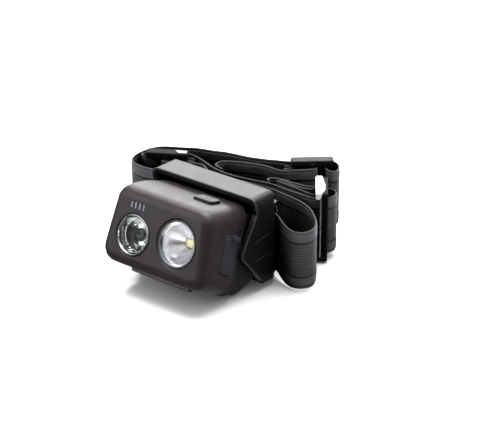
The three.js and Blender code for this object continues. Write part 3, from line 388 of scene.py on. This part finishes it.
def half_at(v):
    """Half thickness of the webbing at v mm above its lower edge."""
    e = min(v, W - v)
    if e < 0.75:                                     # rolled selvedge
        return 0.45 * math.sqrt(max(0.0, 1 - ((0.75 - e) / 0.75) ** 2)) + 0.02
    if e < 1.75:
        return 0.40 + 0.07 * math.cos((e - 0.75) / 1.0 * math.pi / 2) ** 2
    h = 0.62
    if e < BAND - 0.35:
        h = 0.60 - 0.03 * math.cos((e - 1.75) * 2 * math.pi / 1.5)
    elif e < BAND + 0.55:                            # woven groove between the smooth band and the ribs
        q = (e - (BAND - 0.35)) / 0.9
        h = 0.62 - 0.34 * math.sin(math.pi * q)
    else:
        h = 0.37 + 0.09 * math.cos((v - W / 2) * 2 * math.pi / 1.6)
    return h


def profile():
    vs = [0.0, 0.10, 0.25, 0.48, 0.75, 1.0, 1.3, 1.55]
    v = 1.75
    while v < BAND - 0.35:
        vs.append(v)
        v += 0.425
    vs += [BAND - 0.35, BAND - 0.15, BAND + 0.1, BAND + 0.35, BAND + 0.55]
    k = BAND + 0.55
    while k < W / 2 - 0.16:
        k += 0.32
        vs.append(min(k, W / 2))
    vs = sorted(set(round(x, 4) for x in vs if x <= W / 2))
    top = [round(W - x, 4) for x in reversed(vs) if x < W / 2 - 1e-6]
    return vs + top


def webbing(name, path, step=1.0, seed=0, tilt=None):
    B, T, N, u = sample(path, step)
    n = len(B)
    vs = profile()
    k = len(vs)
    ph = [rng.uniform(0, 6.28) for _ in range(5)]
    verts, uvs = [], []
    for i in range(n):
        s = u[i]
        dz = 0.16 * math.sin(s / 9.0 + ph[0]) + 0.09 * math.sin(s / 3.7 + ph[1])
        lean = 0.0 if tilt is None else tilt(s / u[-1])
        for side in (1, -1):
            row = vs if side > 0 else vs[::-1]
            for v in row:
                h = half_at(v) * side
                cup = 0.10 * math.sin(math.pi * v / W) * math.sin(s / 14.0 + ph[2])
                off = h + cup + lean * (v / W - 0.5)
                wv = 0.10 * math.sin(s / 2.9 + ph[3] + v * 0.12) * (1 - min(1, min(v, W - v) / 1.2))
                verts.append(F(B[i, 0] + N[i, 0] * off, B[i, 1] + N[i, 1] * off, B[i, 2] + v + dz + wv))
                uvs.append((s, v))
    m = 2 * k
    faces = []
    for i in range(n - 1):
        for j in range(m):
            a, b = i * m + j, i * m + (j + 1) % m
            faces.append((a, b, b + m, a + m))
    for base, flip in ((0, True), ((n - 1) * m, False)):
        for j in range(k - 1):                       # cut ends: strips between the two sides
            a, b = base + j, base + j + 1
            c, d = base + m - 1 - j, base + m - 2 - j
            faces.append((a, c, d, b) if flip else (a, b, d, c))
    return verts, faces, uvs, (B, T, N, u)


SLICE = {}
STEP = 1.0
for name, node in (("right", "strap_right"), ("left", "strap_left"), ("adjust", "strap_adjust"), ("sewn_end", "strap_sewn_end"), ("top", "strap_top")):
    v, f, uv, data = webbing("web_" + name, PATHS[node][1:] if name == "right" else PATHS[node], STEP)
    SLICE[node] = data
    o = make("web_" + name, v, f, M["web"], "harness", uv)
    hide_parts(node)
    bm = bmesh.new(); bm.from_mesh(o.data)
    bmesh.ops.recalc_face_normals(bm, faces=bm.faces)
    bm.to_mesh(o.data); bm.free()


# ------------------------------------------------------------------ stitches
def capsule(verts, faces, p, q, r, seg=6):
    p, q = np.array(p), np.array(q)
    d = q - p
    L = np.linalg.norm(d)
    if L < 1e-9:
        return
    d = d / L
    a = np.cross(d, [0.3, 0.2, 0.93]); a /= np.linalg.norm(a)
    b = np.cross(d, a)
    base = len(verts)
    rows = [(-0.7, 0.35), (-0.25, 0.8), (0.25, 1.0), (0.75, 1.0)]
    prof = [(0.0 - r * 0.8, 0.02), (0.0 - r * 0.4, 0.75), (0.0, 1.0), (L, 1.0), (L + r * 0.4, 0.75), (L + r * 0.8, 0.02)]
    for t, k in prof:
        for j in range(seg):
            w = 2 * math.pi * j / seg
            verts.append(p + d * t + (a * math.cos(w) + b * math.sin(w)) * r * k)
    for i in range(len(prof) - 1):
        for j in range(seg):
            x = base + i * seg + j
            y = base + i * seg + (j + 1) % seg
            faces.append((x, y, y + seg, x + seg))
    faces.append(tuple(base + j for j in range(seg))[::-1])
    faces.append(tuple(base + (len(prof) - 1) * seg + j for j in range(seg)))


def on_strap(data, s, v, off):
    B, T, N, u = data
    x = np.interp(s, u, B[:, 0]); y = np.interp(s, u, B[:, 1]); z = np.interp(s, u, B[:, 2])
    nx = np.interp(s, u, N[:, 0]); ny = np.interp(s, u, N[:, 1])
    return F(x + nx * off, y + ny * off, z + v)


def bar_tack(name, node, s0, width, side, cols=3, body="harness"):
    data = SLICE[node]
    verts, faces = [], []
    for c in range(cols):
        s = s0 + width * c / max(1, cols - 1)
        z = 2.2
        while z < 27.6:
            z1 = min(z + 1.5, 27.8)
            p = on_strap(data, s + 0.10 * math.sin(z * 3.1), z, side * 0.66)
            q = on_strap(data, s + 0.10 * math.sin(z1 * 3.1), z1, side * 0.66)
            capsule(verts, faces, p, q, 0.17 * MM)
            z += 1.95
    for v in (2.0, 28.0):
        s = s0
        while s < s0 + width - 0.3:
            s1 = min(s + 1.4, s0 + width)
            capsule(verts, faces, on_strap(data, s, v, side * 0.66), on_strap(data, s1, v, side * 0.66), 0.17 * MM)
            s += 1.8
    return make(name, verts, faces, M["thread"], body)


def end_s(node, frac):
    return SLICE[node][3][-1] * frac


bar_tack("tack_left_bar", "strap_left", 2.0, 5.0, -1)
bar_tack("tack_left_end", "strap_left", end_s("strap_left", 1.0) - 4.5, 2.6, -1, 2)
bar_tack("tack_adjust_end", "strap_adjust", end_s("strap_adjust", 1.0) - 3.6, 1.6, 1, 2)
bar_tack("tack_adjust_start", "strap_adjust", 1.2, 1.6, -1, 2)
bar_tack("tack_right_end", "strap_right", end_s("strap_right", 1.0) - 4.6, 3.2, -1, 3)
bar_tack("tack_top_front", "strap_top", 37.0, 3.0, 1, 3)
bar_tack("tack_top_end", "strap_top", end_s("strap_top", 1.0) - 4.2, 3.0, -1, 3)
bar_tack("tack_top_start", "strap_top", 1.2, 2.4, 1, 2)
bar_tack("tack_sewn_front", "strap_sewn_end", 3.0, 4.0, 1, 3)
bar_tack("tack_sewn_back", "strap_sewn_end", end_s("strap_sewn_end", 1.0) - 7.0, 4.0, 1, 3)


# ------------------------------------------------------------------ tubes and small details on the hard parts
def tube(name, pts, r, mat, body, flat=1.0, seg=8, up=(1, 0, 0)):
    P = np.array([tuple(p) for p in pts])
    T = np.gradient(P, axis=0); T /= np.linalg.norm(T, axis=1)[:, None]
    upv = np.array(up, float)
    verts, faces = [], []
    n = len(P)
    for i in range(n):
        b = np.cross(T[i], upv); b /= np.linalg.norm(b)
        a = np.cross(b, T[i])
        k = 0.25 if i in (0, n - 1) else 1.0
        for j in range(seg):
            w = 2 * math.pi * j / seg
            verts.append(P[i] + b * math.cos(w) * r * k + a * math.sin(w) * r * flat * k)
    for i in range(n - 1):
        for j in range(seg):
            x, y = i * seg + j, i * seg + (j + 1) % seg
            faces.append((x, y, y + seg, x + seg))
    faces.append(tuple(range(seg))[::-1]); faces.append(tuple((n - 1) * seg + j for j in range(seg)))
    return make(name, verts, faces, mat, body)


def smooth_line(pts, step=0.8):
    P = [(a, b, 0.0) for a, b in pts]
    B, *_ = sample(P, step)
    return B[:, :2]


# rolled edge that runs from one foot over the nose, the bend and the plate to the other foot; its colour, much lighter
# than the bracket, is a painted highlight along the edge
def fillet(pts, radii, seg=6):
    out = [pts[0]]
    for i in range(1, len(pts) - 1):
        p, a, b = (np.array(q, float) for q in (pts[i], pts[i - 1], pts[i + 1]))
        da, db = a - p, b - p
        la, lb = np.linalg.norm(da), np.linalg.norm(db)
        da /= la
        db /= lb
        half = math.acos(max(-1, min(1, float(da @ db)))) / 2
        t = min(radii[i] / math.tan(half), la * 0.49, lb * 0.49)
        for k in range(seg + 1):
            w = k / seg
            out.append(tuple((1 - w) ** 2 * (p + da * t) + 2 * w * (1 - w) * p + w * w * (p + db * t)))
    out.append(pts[-1])
    return out


def even(pts, step):
    P = np.array([tuple(q) for q in pts], float)
    s_ = np.concatenate([[0], np.cumsum(np.linalg.norm(np.diff(P, axis=0), axis=1))])
    n_ = max(2, int(round(s_[-1] / step)))
    u_ = np.linspace(0, s_[-1], n_ + 1)
    return np.stack([np.interp(u_, s_, P[:, k]) for k in range(P.shape[1])], axis=1)


side = fillet([(40.3, 4.9), (23.5, 23.6), (36.5, 43.4), (35.2, 47.2)], [0, 3.0, 3.0, 0])
HB, RB = 35.0, 4.5
right_half = [(HB - 0.32, y + 0.22, z) for y, z in side]
for k in range(1, 12):
    w = math.radians(90 * k / 12)
    right_half.append((HB - RB + (RB - 0.32) * math.cos(w), 35.42 + 0.1 * k / 12, 51.5 - RB + (RB - 0.32) * math.sin(w)))
right_half.append((HB - RB, 35.52, 51.18))
loop3 = right_half + [(-x, y, z) for x, y, z in reversed(right_half)]
tube("bracket_edge_painted_highlight", [F(*p) for p in even(loop3, 0.7)], 0.50 * MM, M["bead"], "harness", up=(0.02, 1, 0.03))
for side_, nm in ((1, "right"), (-1, "left")):
    for k, (p, q) in enumerate((((34.6, 27.6), (46.0, 29.6)), ((33.9, 17.2), (46.6, 18.4)))):
        pts = [F(side_ * 34.98, p[0] + (q[0] - p[0]) * t, p[1] + (q[1] - p[1]) * t + 0.5 * math.sin(math.pi * t)) for t in np.linspace(0, 1, 18)]
        tube("cheek_ridge_%s_%d" % (nm, k + 1), pts, 0.30 * MM, M["bracket"], "harness", flat=0.7)

# rim of the front shell along the seam
def seam_y(z):
    return 27.6 + 0.13 * (z + 0.4)


zt, zb = 20.1 + 0.1017 * 27, -20.1 - 0.125 * 27
out4 = [(-(31.43 - 0.111 * zb) + 1.9, zb), (31.43 - 0.111 * zb, zb), (31.43 - 0.111 * zt, zt), (-(31.43 - 0.111 * zt) - 1.6, zt)]
mid = ((out4[0][0] + out4[1][0]) / 2, zb)
lp = fillet([mid, out4[1], out4[2], out4[3], out4[0], mid], [0, 8, 8, 8, 8, 0], 10)
tube("shell_rim", [H(x, seam_y(z) - 0.75, z) for x, z in even(lp, 1.0)], 0.30 * MM, M["shell"], "lamp_head", up=(0.03, 1, 0.05))

# power mark on the button
TILT = math.atan(0.1017)


def BT(x, y, n):                # button frame: x, depth along the slope, height above it
    z0 = 20.1 + 0.1017 * 17.5
    return H(12.5 + x, 17.5 + y * math.cos(TILT) - n * math.sin(TILT), z0 + y * math.sin(TILT) + n * math.cos(TILT))


verts, faces = [], []
for k in range(19):
    a0 = math.radians(60 + 300 * k / 19 * 0.8 + 60)
    a1 = math.radians(60 + 300 * (k + 1) / 19 * 0.8 + 60)
    capsule(verts, faces, BT(1.1 * math.cos(a0), 1.1 * math.sin(a0), 1.83), BT(1.1 * math.cos(a1), 1.1 * math.sin(a1), 1.83), 0.13 * MM)
capsule(verts, faces, BT(0, 0.5, 1.83), BT(0, 1.5, 1.83), 0.13 * MM)
make("button_mark", verts, faces, M["mark"], "button")

# grip tab and hinge knuckles of the charge-port cover
A = math.atan(0.111)


TC = math.radians(13)


def CV(d, v, n):                # cover frame: depth, up the side, outwards, from the cover's centre
    x0 = 31.43 + 0.111 * 1.1 + 0.12
    dd, vv = d * math.cos(TC) + v * math.sin(TC), -d * math.sin(TC) + v * math.cos(TC)
    return H(x0 + n * math.cos(A) - vv * math.sin(A), 19.2 + dd, -1.1 + n * math.sin(A) + vv * math.cos(A))


def pad_block(name, w, h, t, place, mat, body, nx=14, ny=14, power=4.0):
    """Cushion-like raised block: w by h, t high, soft rounded rim."""
    verts, faces = [], []
    for i in range(nx + 1):
        for j in range(ny + 1):
            a, b = -1 + 2 * i / nx, -1 + 2 * j / ny
            a, b = math.sin(a * math.pi / 2), math.sin(b * math.pi / 2)
            q = max(0.0, (1 - abs(a) ** power) * (1 - abs(b) ** power)) ** 0.35
            verts.append(place(a * w / 2, b * h / 2, q * t))
    for i in range(nx):
        for j in range(ny):
            a = i * (ny + 1) + j
            faces.append((a, a + ny + 1, a + ny + 2, a + 1))
    base = len(verts)
    for i in range(nx + 1):
        for j in range(ny + 1):
            a, b = math.sin((-1 + 2 * i / nx) * math.pi / 2), math.sin((-1 + 2 * j / ny) * math.pi / 2)
            verts.append(place(a * w / 2, b * h / 2, -0.15))
    for i in range(nx):
        for j in range(ny):
            a = base + i * (ny + 1) + j
            faces.append((a, a + 1, a + ny + 2, a + ny + 1))
    rim = [i * (ny + 1) for i in range(nx + 1)] + [nx * (ny + 1) + j for j in range(1, ny + 1)] + [i * (ny + 1) + ny for i in range(nx - 1, -1, -1)] + [j for j in range(ny - 1, 0, -1)]
    for k in range(len(rim)):
        a, b = rim[k], rim[(k + 1) % len(rim)]
        faces.append((a, b, b + base, a + base))
    o = make(name, verts, faces, mat, body)
    bm = bmesh.new(); bm.from_mesh(o.data)
    bmesh.ops.remove_doubles(bm, verts=bm.verts, dist=1e-7)
    bmesh.ops.recalc_face_normals(bm, faces=bm.faces)
    bm.to_mesh(o.data); bm.free()
    return o


pad_block("cover_tab", 5.8, 3.0, 1.5, lambda a, b, t: CV(1.9 + a, 8.9 + b, 0.25 + t), M["cover"], "port_cover")
for k, dd in enumerate((-3.4, 3.4)):
    pad_block("cover_knuckle_%d" % (k + 1), 2.2, 1.1, 0.35, lambda a, b, t, dd=dd: CV(dd + a, -9.1 + b, 0.33 + t), M["cover"], "port_cover", 8, 8)
# raised frame on the cover
ring = [((4.3 + 0.25 * math.sin(a)) * math.copysign(abs(math.cos(a)) ** 0.35, math.cos(a)), 8.1 * math.copysign(abs(math.sin(a)) ** 0.25, math.sin(a)) - 0.2) for a in np.linspace(0, 2 * math.pi, 73)]
tube("cover_rim", [CV(p[0], p[1], 0.33) for p in ring], 0.22 * MM, M["cover"], "port_cover", flat=0.9)


# dark patches in the grip notches: painted shade standing in for the shadow inside each notch
def shade_patch_outline(x, d, top):
    q = []
    for sx, y in ((-1, 26.65 + d), (1, 26.65 + d), (1, seam_y(22.6) - 0.45 - d), (-1, seam_y(22.6) - 0.45 - d)):
        q.append(H(x + sx * (0.53 - d), y, (20.1 + 0.1017 * y - 0.22) if top else 21.43))
    return q


# pale plate on the right buckle's upper rail, with a lip over its near end: a painted highlight for the white
# reflection on the rail; and the rail's side bar, coloured bluish grey as a painted reflection
def BK(which, u, n, z):
    (cx, cy), (ux, uy) = BUCKLES[which]
    return F(cx + u * ux + n * uy, cy + u * uy - n * ux, z)


def stacked(name, rings, mat, body):
    """Closed body through rings of equal length, flat ends."""
    verts = [p for r in rings for p in r]
    k = len(rings[0])
    faces = []
    for i in range(len(rings) - 1):
        for j in range(k):
            a, b = i * k + j, i * k + (j + 1) % k
            faces.append((a, b, b + k, a + k))
    faces.append(tuple(range(k))[::-1])
    faces.append(tuple((len(rings) - 1) * k + j for j in range(k)))
    o = make(name, verts, faces, mat, body, smooth=False)
    bm = bmesh.new(); bm.from_mesh(o.data)
    bmesh.ops.recalc_face_normals(bm, faces=bm.faces)
    bm.to_mesh(o.data); bm.free()
    bv = o.modifiers.new("soft", "BEVEL")
    bv.width, bv.segments = 0.12 * MM, 2
    return o


hexa = [(-11.3, 1.6), (-11.3, -1.5), (-0.8, -3.1), (6.2, -3.1), (11.6, -1.4), (11.6, 2.0), (-10.4, 2.1)]


def shrink(pts, d):
    c = np.mean(np.array(pts), axis=0)
    return [tuple(np.array(p) - d * (np.array(p) - c) / np.linalg.norm(np.array(p) - c)) for p in pts]


# painted highlight: pale plate over the rail top
stacked("right_buckle_highlight_plate", [[BK("buckle_right", u, n, z) for u, n in shrink(hexa, d)] for z, d in ((39.25, 0.0), (39.6, 0.0), (39.95, 0.5))], M["buckle_pale"], "harness")
stacked("left_buckle_plate", [[BK("buckle_left", u, n, z) for u, n in shrink([(3.6, -2.4), (11.0, -2.4), (11.2, 1.4), (6.4, 1.4)], d)] for z, d in ((39.25, 0.0), (39.55, 0.0), (39.8, 0.4))], M["buckle"], "left_buckle")
# painted shade: dark patches in the seven grip notches
for k, x in enumerate([-26.8, -23.6, -20.7, -17.9, -14.7, -11.4, -8.3]):
    stacked("notch_painted_shade_%d" % (k + 1), [shade_patch_outline(x, 0.0, False), shade_patch_outline(x, 0.0, True)], M["dark"], "lamp_head")
lip = [(2.0, 39.5), (-1.3, 39.5), (-0.9, 37.2), (-0.2, 36.2), (1.4, 36.2), (2.0, 37.0)]
# painted highlight: pale lip over the rail's near end
stacked("right_buckle_highlight_lip", [[BK("buckle_right", u, n, z) for n, z in lip] for u in (11.3, 12.0)], M["buckle_pale"], "harness")
# painted reflection: bluish grey side bar of the right buckle
tube("right_buckle_bar", [BK("buckle_right", 11.75, -0.75, z) for z in np.linspace(2.6, 36.6, 30)], 0.55 * MM, M["buckle_painted_reflection"], "harness", flat=0.6)


# ------------------------------------------------------------------ beams
def disc_rings(name, cx, cz, radii, mat, body, y, seg=72):
    verts, faces = [], []
    for r, dy in radii:
        for j in range(seg):
            w = 2 * math.pi * j / seg
            verts.append(H(cx + r * math.cos(w), y + dy, cz + r * math.sin(w)))
    for i in range(len(radii) - 1):
        for j in range(seg):
            a, b = i * seg + j, i * seg + (j + 1) % seg
            faces.append((a, b, b + seg, a + seg))
    o = make(name, verts, faces, mat, body)
    bm = bmesh.new(); bm.from_mesh(o.data)
    bmesh.ops.recalc_face_normals(bm, faces=bm.faces)
    bm.to_mesh(o.data); bm.free()
    return o


# well behind the spot optic, closed ring shells
disc_rings("spot_well", -16.1, -3.2, [(9.45, 2.9), (9.45, 3.4), (8.3, 6.8), (6.0, 10.2), (3.2, 12.6), (2.9, 12.6), (5.8, 9.9), (8.0, 6.6), (9.25, 3.1), (9.45, 2.9)], M["dark"], "lamp_head", 0.0)
# facets inside the flood reflector
verts, faces = [], []
seg = 96
ys_ = np.linspace(2.45, 11.5, 28)
rs_ = np.interp(ys_, [2.4, 5.2, 8.0, 10.6, 11.6], [10.3, 8.9, 6.8, 4.2, 2.9]) - 0.2
for _ in range(3):
    rs_[1:-1] = (rs_[:-2] + rs_[1:-1] + rs_[2:]) / 3
for r, y in zip(rs_, ys_):
    for k in range(seg):
        w = 2 * math.pi * k / seg
        verts.append(H(12.35 + r * math.cos(w), y, -0.1 + r * math.sin(w)))
for i in range(len(ys_) - 1):
    for k in range(seg):
        a, b = i * seg + k, i * seg + (k + 1) % seg
        faces.append((a, b, b + seg, a + seg))
fac = make("flood_facets", verts, faces, M["satin"], "lamp_head", smooth=True)
mod = fac.modifiers.new("thick", "SOLIDIFY"); mod.thickness = 0.05 * MM; mod.offset = 0
# painted reflection: thin bluish metal ring for the light-blue line at the flood lens rim
circle = [H(12.35 + 11.2 * math.cos(w), 0.55, -0.1 + 11.2 * math.sin(w)) for w in np.linspace(0, 2 * math.pi, 121)]
tube("flood_ring_edge", circle, 0.13 * MM, M["ring_edge"], "lamp_head", up=(0.03, 1, 0.05))
M["led_spot"] = plastic("spot_die", (0.30, 0.34, 0.26), 0.3)
NODES["spot_led"].data.materials.clear()
NODES["spot_led"].data.materials.append(M["led_spot"])
# LED packages: a raised square die on each LED
for nm, cx, cz, y in (("spot", -16.1, -3.2, 11.05), ("flood", 12.35, -0.1, 11.15)):
    pad_block(nm + "_led_die", 2.7, 2.7, 0.25, lambda a, b, t, cx=cx, cz=cz, y=y: H(cx + a, y - t, cz + b), M["led"] if nm == "flood" else M["led_spot"], "lamp_head", 10, 10, 8.0)


# ------------------------------------------------------------------ forehead pad: a foam block in a cloth cover
def forehead_pad():
    lean = math.atan(0.0952)
    y0, z0 = 55.4 - 0.0952 * 24 + 0.3, 24.0

    def place(a, b, t):
        return F(a, y0 + t * math.cos(lean) - b * math.sin(lean), z0 + b * math.cos(lean) + t * math.sin(lean))
    w, h, thick = 31.6, 37.0, 3.4
    nx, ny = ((26, 30))
    verts, faces, rim_v = [], [], []
    def corner(a, b):            # squircle outline
        p = 5.0
        k = max(1e-6, (abs(a) ** p + abs(b) ** p)) ** (1 / p)
        m = max(abs(a), abs(b))
        return (a * m / k, b * m / k) if k > 1e-5 else (a, b)
    idx = {}
    for side in (1, 0):
        for i in range(nx + 1):
            for j in range(ny + 1):
                a, b = -1 + 2 * i / nx, -1 + 2 * j / ny
                on_rim = i in (0, nx) or j in (0, ny)
                if side == 0 and on_rim:
                    idx[(side, i, j)] = idx[(1, i, j)]
                    continue
                ca, cb = corner(a, b)
                e = 1 - max(abs(a), abs(b))
                t = 0.55 + (thick - 0.55) * min(1.0, e / 0.12) ** 0.5 if side else 0.25
                if on_rim:
                    t = 0.5
                idx[(side, i, j)] = len(verts)
                verts.append(place(ca * w / 2, cb * h / 2, t))
    for side in (1, 0):
        for i in range(nx):
            for j in range(ny):
                q = [idx[(side, i, j)], idx[(side, i + 1, j)], idx[(side, i + 1, j + 1)], idx[(side, i, j + 1)]]
                faces.append(q if side == 0 else q[::-1])
    o = make("pad_cushion", verts, faces, M["pad"], None)
    bm = bmesh.new(); bm.from_mesh(o.data)
    bmesh.ops.recalc_face_normals(bm, faces=bm.faces)
    bm.to_mesh(o.data); bm.free()
    vg = o.vertex_groups.new(name="hold")
    for i in range(nx + 1):
        for j in range(ny + 1):
            if i in (0, nx) or j in (0, ny):
                vg.add([idx[(1, i, j)]], 1.0, "REPLACE")
            elif True:
                vg.add([idx[(0, i, j)]], 1.0, "REPLACE")
    # quilting lines stay pressed down
    for i in range(1, nx):
        for j in range(1, ny):
            if abs(j - ny * 0.34) < 0.5 or abs(j - ny * 0.66) < 0.5:
                vg.add([idx[(1, i, j)]], 0.55, "REPLACE")
    cl = o.modifiers.new("cloth", "CLOTH")
    st = cl.settings
    st.quality = 6
    st.mass = 0.15
    st.tension_stiffness = 12
    st.compression_stiffness = 12
    st.shear_stiffness = 6
    st.bending_stiffness = 0.3
    st.vertex_group_mass = "hold"
    st.use_pressure = True
    st.uniform_pressure_force = 2.2
    st.shrink_min = -0.06
    st.effector_weights.gravity = 0.3
    cl.collision_settings.use_collision = False
    cl.collision_settings.use_self_collision = False
    sc = bpy.context.scene
    cl.point_cache.frame_start, cl.point_cache.frame_end = 1, 30
    for fno in range(1, 31):
        sc.frame_set(fno)
    dg = bpy.context.evaluated_depsgraph_get()
    me = bpy.data.meshes.new_from_object(o.evaluated_get(dg))
    o.modifiers.clear()
    o.data = me
    sc.frame_set(1)
    sub = o.modifiers.new("sub", "SUBSURF"); sub.levels = sub.render_levels = 1
    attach(o, "harness"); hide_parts("forehead_pad")
    # rim seam
    ringp = []
    for k in range(121):
        a = 2 * math.pi * k / 120
        p = 5.0
        c, s = math.cos(a), math.sin(a)
        r = (abs(c) ** p + abs(s) ** p) ** (-1 / p)
        ringp.append(place(c * r * (w / 2 - 0.1), s * r * (h / 2 - 0.1), 0.55))
    tube("pad_rim", ringp, 0.42 * MM, M["pad"], "harness", up=(0, 1, 0.1))


forehead_pad()

for nm in ("front_shell", "rear_shell", "bracket_frame", "power_button", "charge_cover"):
    wn = NODES[nm].modifiers.new("face_weighted", "WEIGHTED_NORMAL")
    wn.mode = "FACE_AREA"
    wn.weight = 100
    wn.keep_sharp = True

# ------------------------------------------------------------------ floor, light, camera
def stage_plane(name, size, z, mat, at=(0, 0)):
    verts = [(at[0] - size, at[1] - size, z), (at[0] + size, at[1] - size, z), (at[0] + size, at[1] + size, z), (at[0] - size, at[1] + size, z)]
    o = make(name, verts, [(0, 1, 2, 3)], mat, None, smooth=False)
    return o


m, nt, b = new_mat("white_table")
b.inputs["Base Color"].default_value = (0.93, 0.93, 0.93, 1)
nt.links.new(span(nt, noise(nt, coords(nt), 12, 2), 0.16, 0.22), b.inputs["Roughness"])
b.inputs["Specular IOR Level"].default_value = 0.35
glow = nt.nodes.new("ShaderNodeEmission")
glow.inputs[0].default_value = (1.0, 0.99, 0.985, 1)
glow.inputs[1].default_value = 1.0
blend = nt.nodes.new("ShaderNodeMixShader")
rays = nt.nodes.new("ShaderNodeLightPath")
share = nt.nodes.new("ShaderNodeMath")
share.operation = "MULTIPLY"
share.inputs[1].default_value = 0.03
nt.links.new(rays.outputs["Is Camera Ray"], share.inputs[0])
nt.links.new(share.outputs[0], blend.inputs[0])
nt.links.new(b.outputs[0], blend.inputs[1])
nt.links.new(glow.outputs[0], blend.inputs[2])
nt.links.new(blend.outputs[0], [n for n in nt.nodes if n.type == "OUTPUT_MATERIAL"][0].inputs[0])
floor = stage_plane("floor", 6.0, -0.0006, m)

floor.visible_glossy = False

# the table sinks with the lamp head when the head is tilted further down than the table allows
HEAD_PIVOT = np.array([0.0, -0.015989, 0.022002])
head_pts = np.array([v.co for n_ in ("front_shell", "rear_shell", "charge_cover") for v in NODES[n_].data.vertices], float) - HEAD_PIVOT


def head_low(a):
    return float(HEAD_PIVOT[2] + (head_pts[:, 1] * math.sin(a) + head_pts[:, 2] * math.cos(a)).min())


track = floor.driver_add("location", 2)
track.driver.type = "AVERAGE"
for mod_ in list(track.modifiers):
    track.modifiers.remove(mod_)
var = track.driver.variables.new()
var.type = "TRANSFORMS"
var.targets[0].id = frame["bodies"]["lamp_head"]
var.targets[0].transform_type = "ROT_X"
var.targets[0].transform_space = "WORLD_SPACE"
rest_z = floor.location[2]
for k in range(-10, 51):
    a_ = math.radians(k)
    pt = track.keyframe_points.insert(a_, rest_z + min(0.0, head_low(a_)))
    pt.interpolation = "LINEAR"

world = bpy.data.worlds.new("studio")
bpy.context.scene.world = world
world.use_nodes = True
wt = world.node_tree
bg = wt.nodes["Background"]
tc = wt.nodes.new("ShaderNodeTexCoord")
sp = wt.nodes.new("ShaderNodeSeparateXYZ")
wt.links.new(tc.outputs["Generated"], sp.inputs[0])


def w_ramp(src, stops):
    r = wt.nodes.new("ShaderNodeValToRGB")
    while len(r.color_ramp.elements) < len(stops):
        r.color_ramp.elements.new(0.5)
    for e, (p, c) in zip(r.color_ramp.elements, stops):
        e.position, e.color = p, (c, c, c, 1)
    mr = wt.nodes.new("ShaderNodeMapRange")
    mr.inputs["From Min"].default_value = -1
    mr.inputs["From Max"].default_value = 1
    wt.links.new(src, mr.inputs["Value"])
    wt.links.new(mr.outputs[0], r.inputs[0])
    return r.outputs[0]


def w_math(op, a, b):
    k = wt.nodes.new("ShaderNodeMath")
    k.operation = op
    for i, q in enumerate((a, b)):
        if isinstance(q, (int, float)):
            k.inputs[i].default_value = q
        else:
            wt.links.new(q, k.inputs[i])
    return k.outputs[0]


# bright backdrop behind, dark room in front and to the right
back = w_ramp(sp.outputs["Y"], [(0.0, 0.10), (0.45, 0.14), (0.62, 0.55), (0.78, 1.0)])
right = w_ramp(sp.outputs["X"], [(0.0, 1.0), (0.5, 0.95), (0.75, 0.45), (1.0, 0.25)])
low = w_ramp(sp.outputs["Z"], [(0.0, 0.35), (0.42, 0.45), (0.52, 1.0), (1.0, 1.0)])
top = w_ramp(sp.outputs["Z"], [(0.0, 0.0), (0.68, 0.0), (0.80, 0.75), (1.0, 0.95)])
val = w_math("MAXIMUM", w_math("MULTIPLY", w_math("MULTIPLY", back, right), low), top)
lp_ = wt.nodes.new("ShaderNodeLightPath")
mixw = w_math("MAXIMUM", lp_.outputs["Is Camera Ray"], val)
bg.inputs[0].default_value = (1, 1, 1, 1)
wt.links.new(mixw, bg.inputs[1])


def area(name, loc, target, size, power, size_y=None, col=(1, 1, 1)):
    L = bpy.data.lights.new(name, "AREA")
    L.energy = power
    L.color = col
    L.size = size
    if size_y:
        L.shape = "RECTANGLE"
        L.size_y = size_y
    o = bpy.data.objects.new(name, L)
    bpy.context.scene.collection.objects.link(o)
    o.location = loc
    o.rotation_euler = (Vector(target) - Vector(loc)).to_track_quat("-Z", "Y").to_euler()
    return o


area("top_soft", (-0.10, 0.22, 0.85), (0, 0.0, 0.02), 0.9, 17.0, 0.7)
area("front_left_soft", (-0.50, -0.65, 0.32), (0, 0, 0.02), 0.55, 2.2, 0.5)
area("back_strip", (-0.45, 0.75, 0.42), (0, 0, 0.03), 0.9, 6.0, 0.3)

sc = bpy.context.scene
sc.view_settings.view_transform = "Standard"
cam_data = bpy.data.cameras.new("camera")
cam = bpy.data.objects.new("camera", cam_data)
sc.collection.objects.link(cam)
sc.camera = cam
cam_data.sensor_width = 36.0
cam_data.lens = 150.0
cam_data.clip_start, cam_data.clip_end = 0.01, 20.0
az, el = math.radians(39.69), math.radians(24.46)
cam.location = (0.611028, -0.671633 - 0.05, 0.455738)
fwd = Vector((-math.sin(az) * math.cos(el), math.cos(az) * math.cos(el), -math.sin(el)))
cam.rotation_euler = fwd.to_track_quat("-Z", "Y").to_euler()
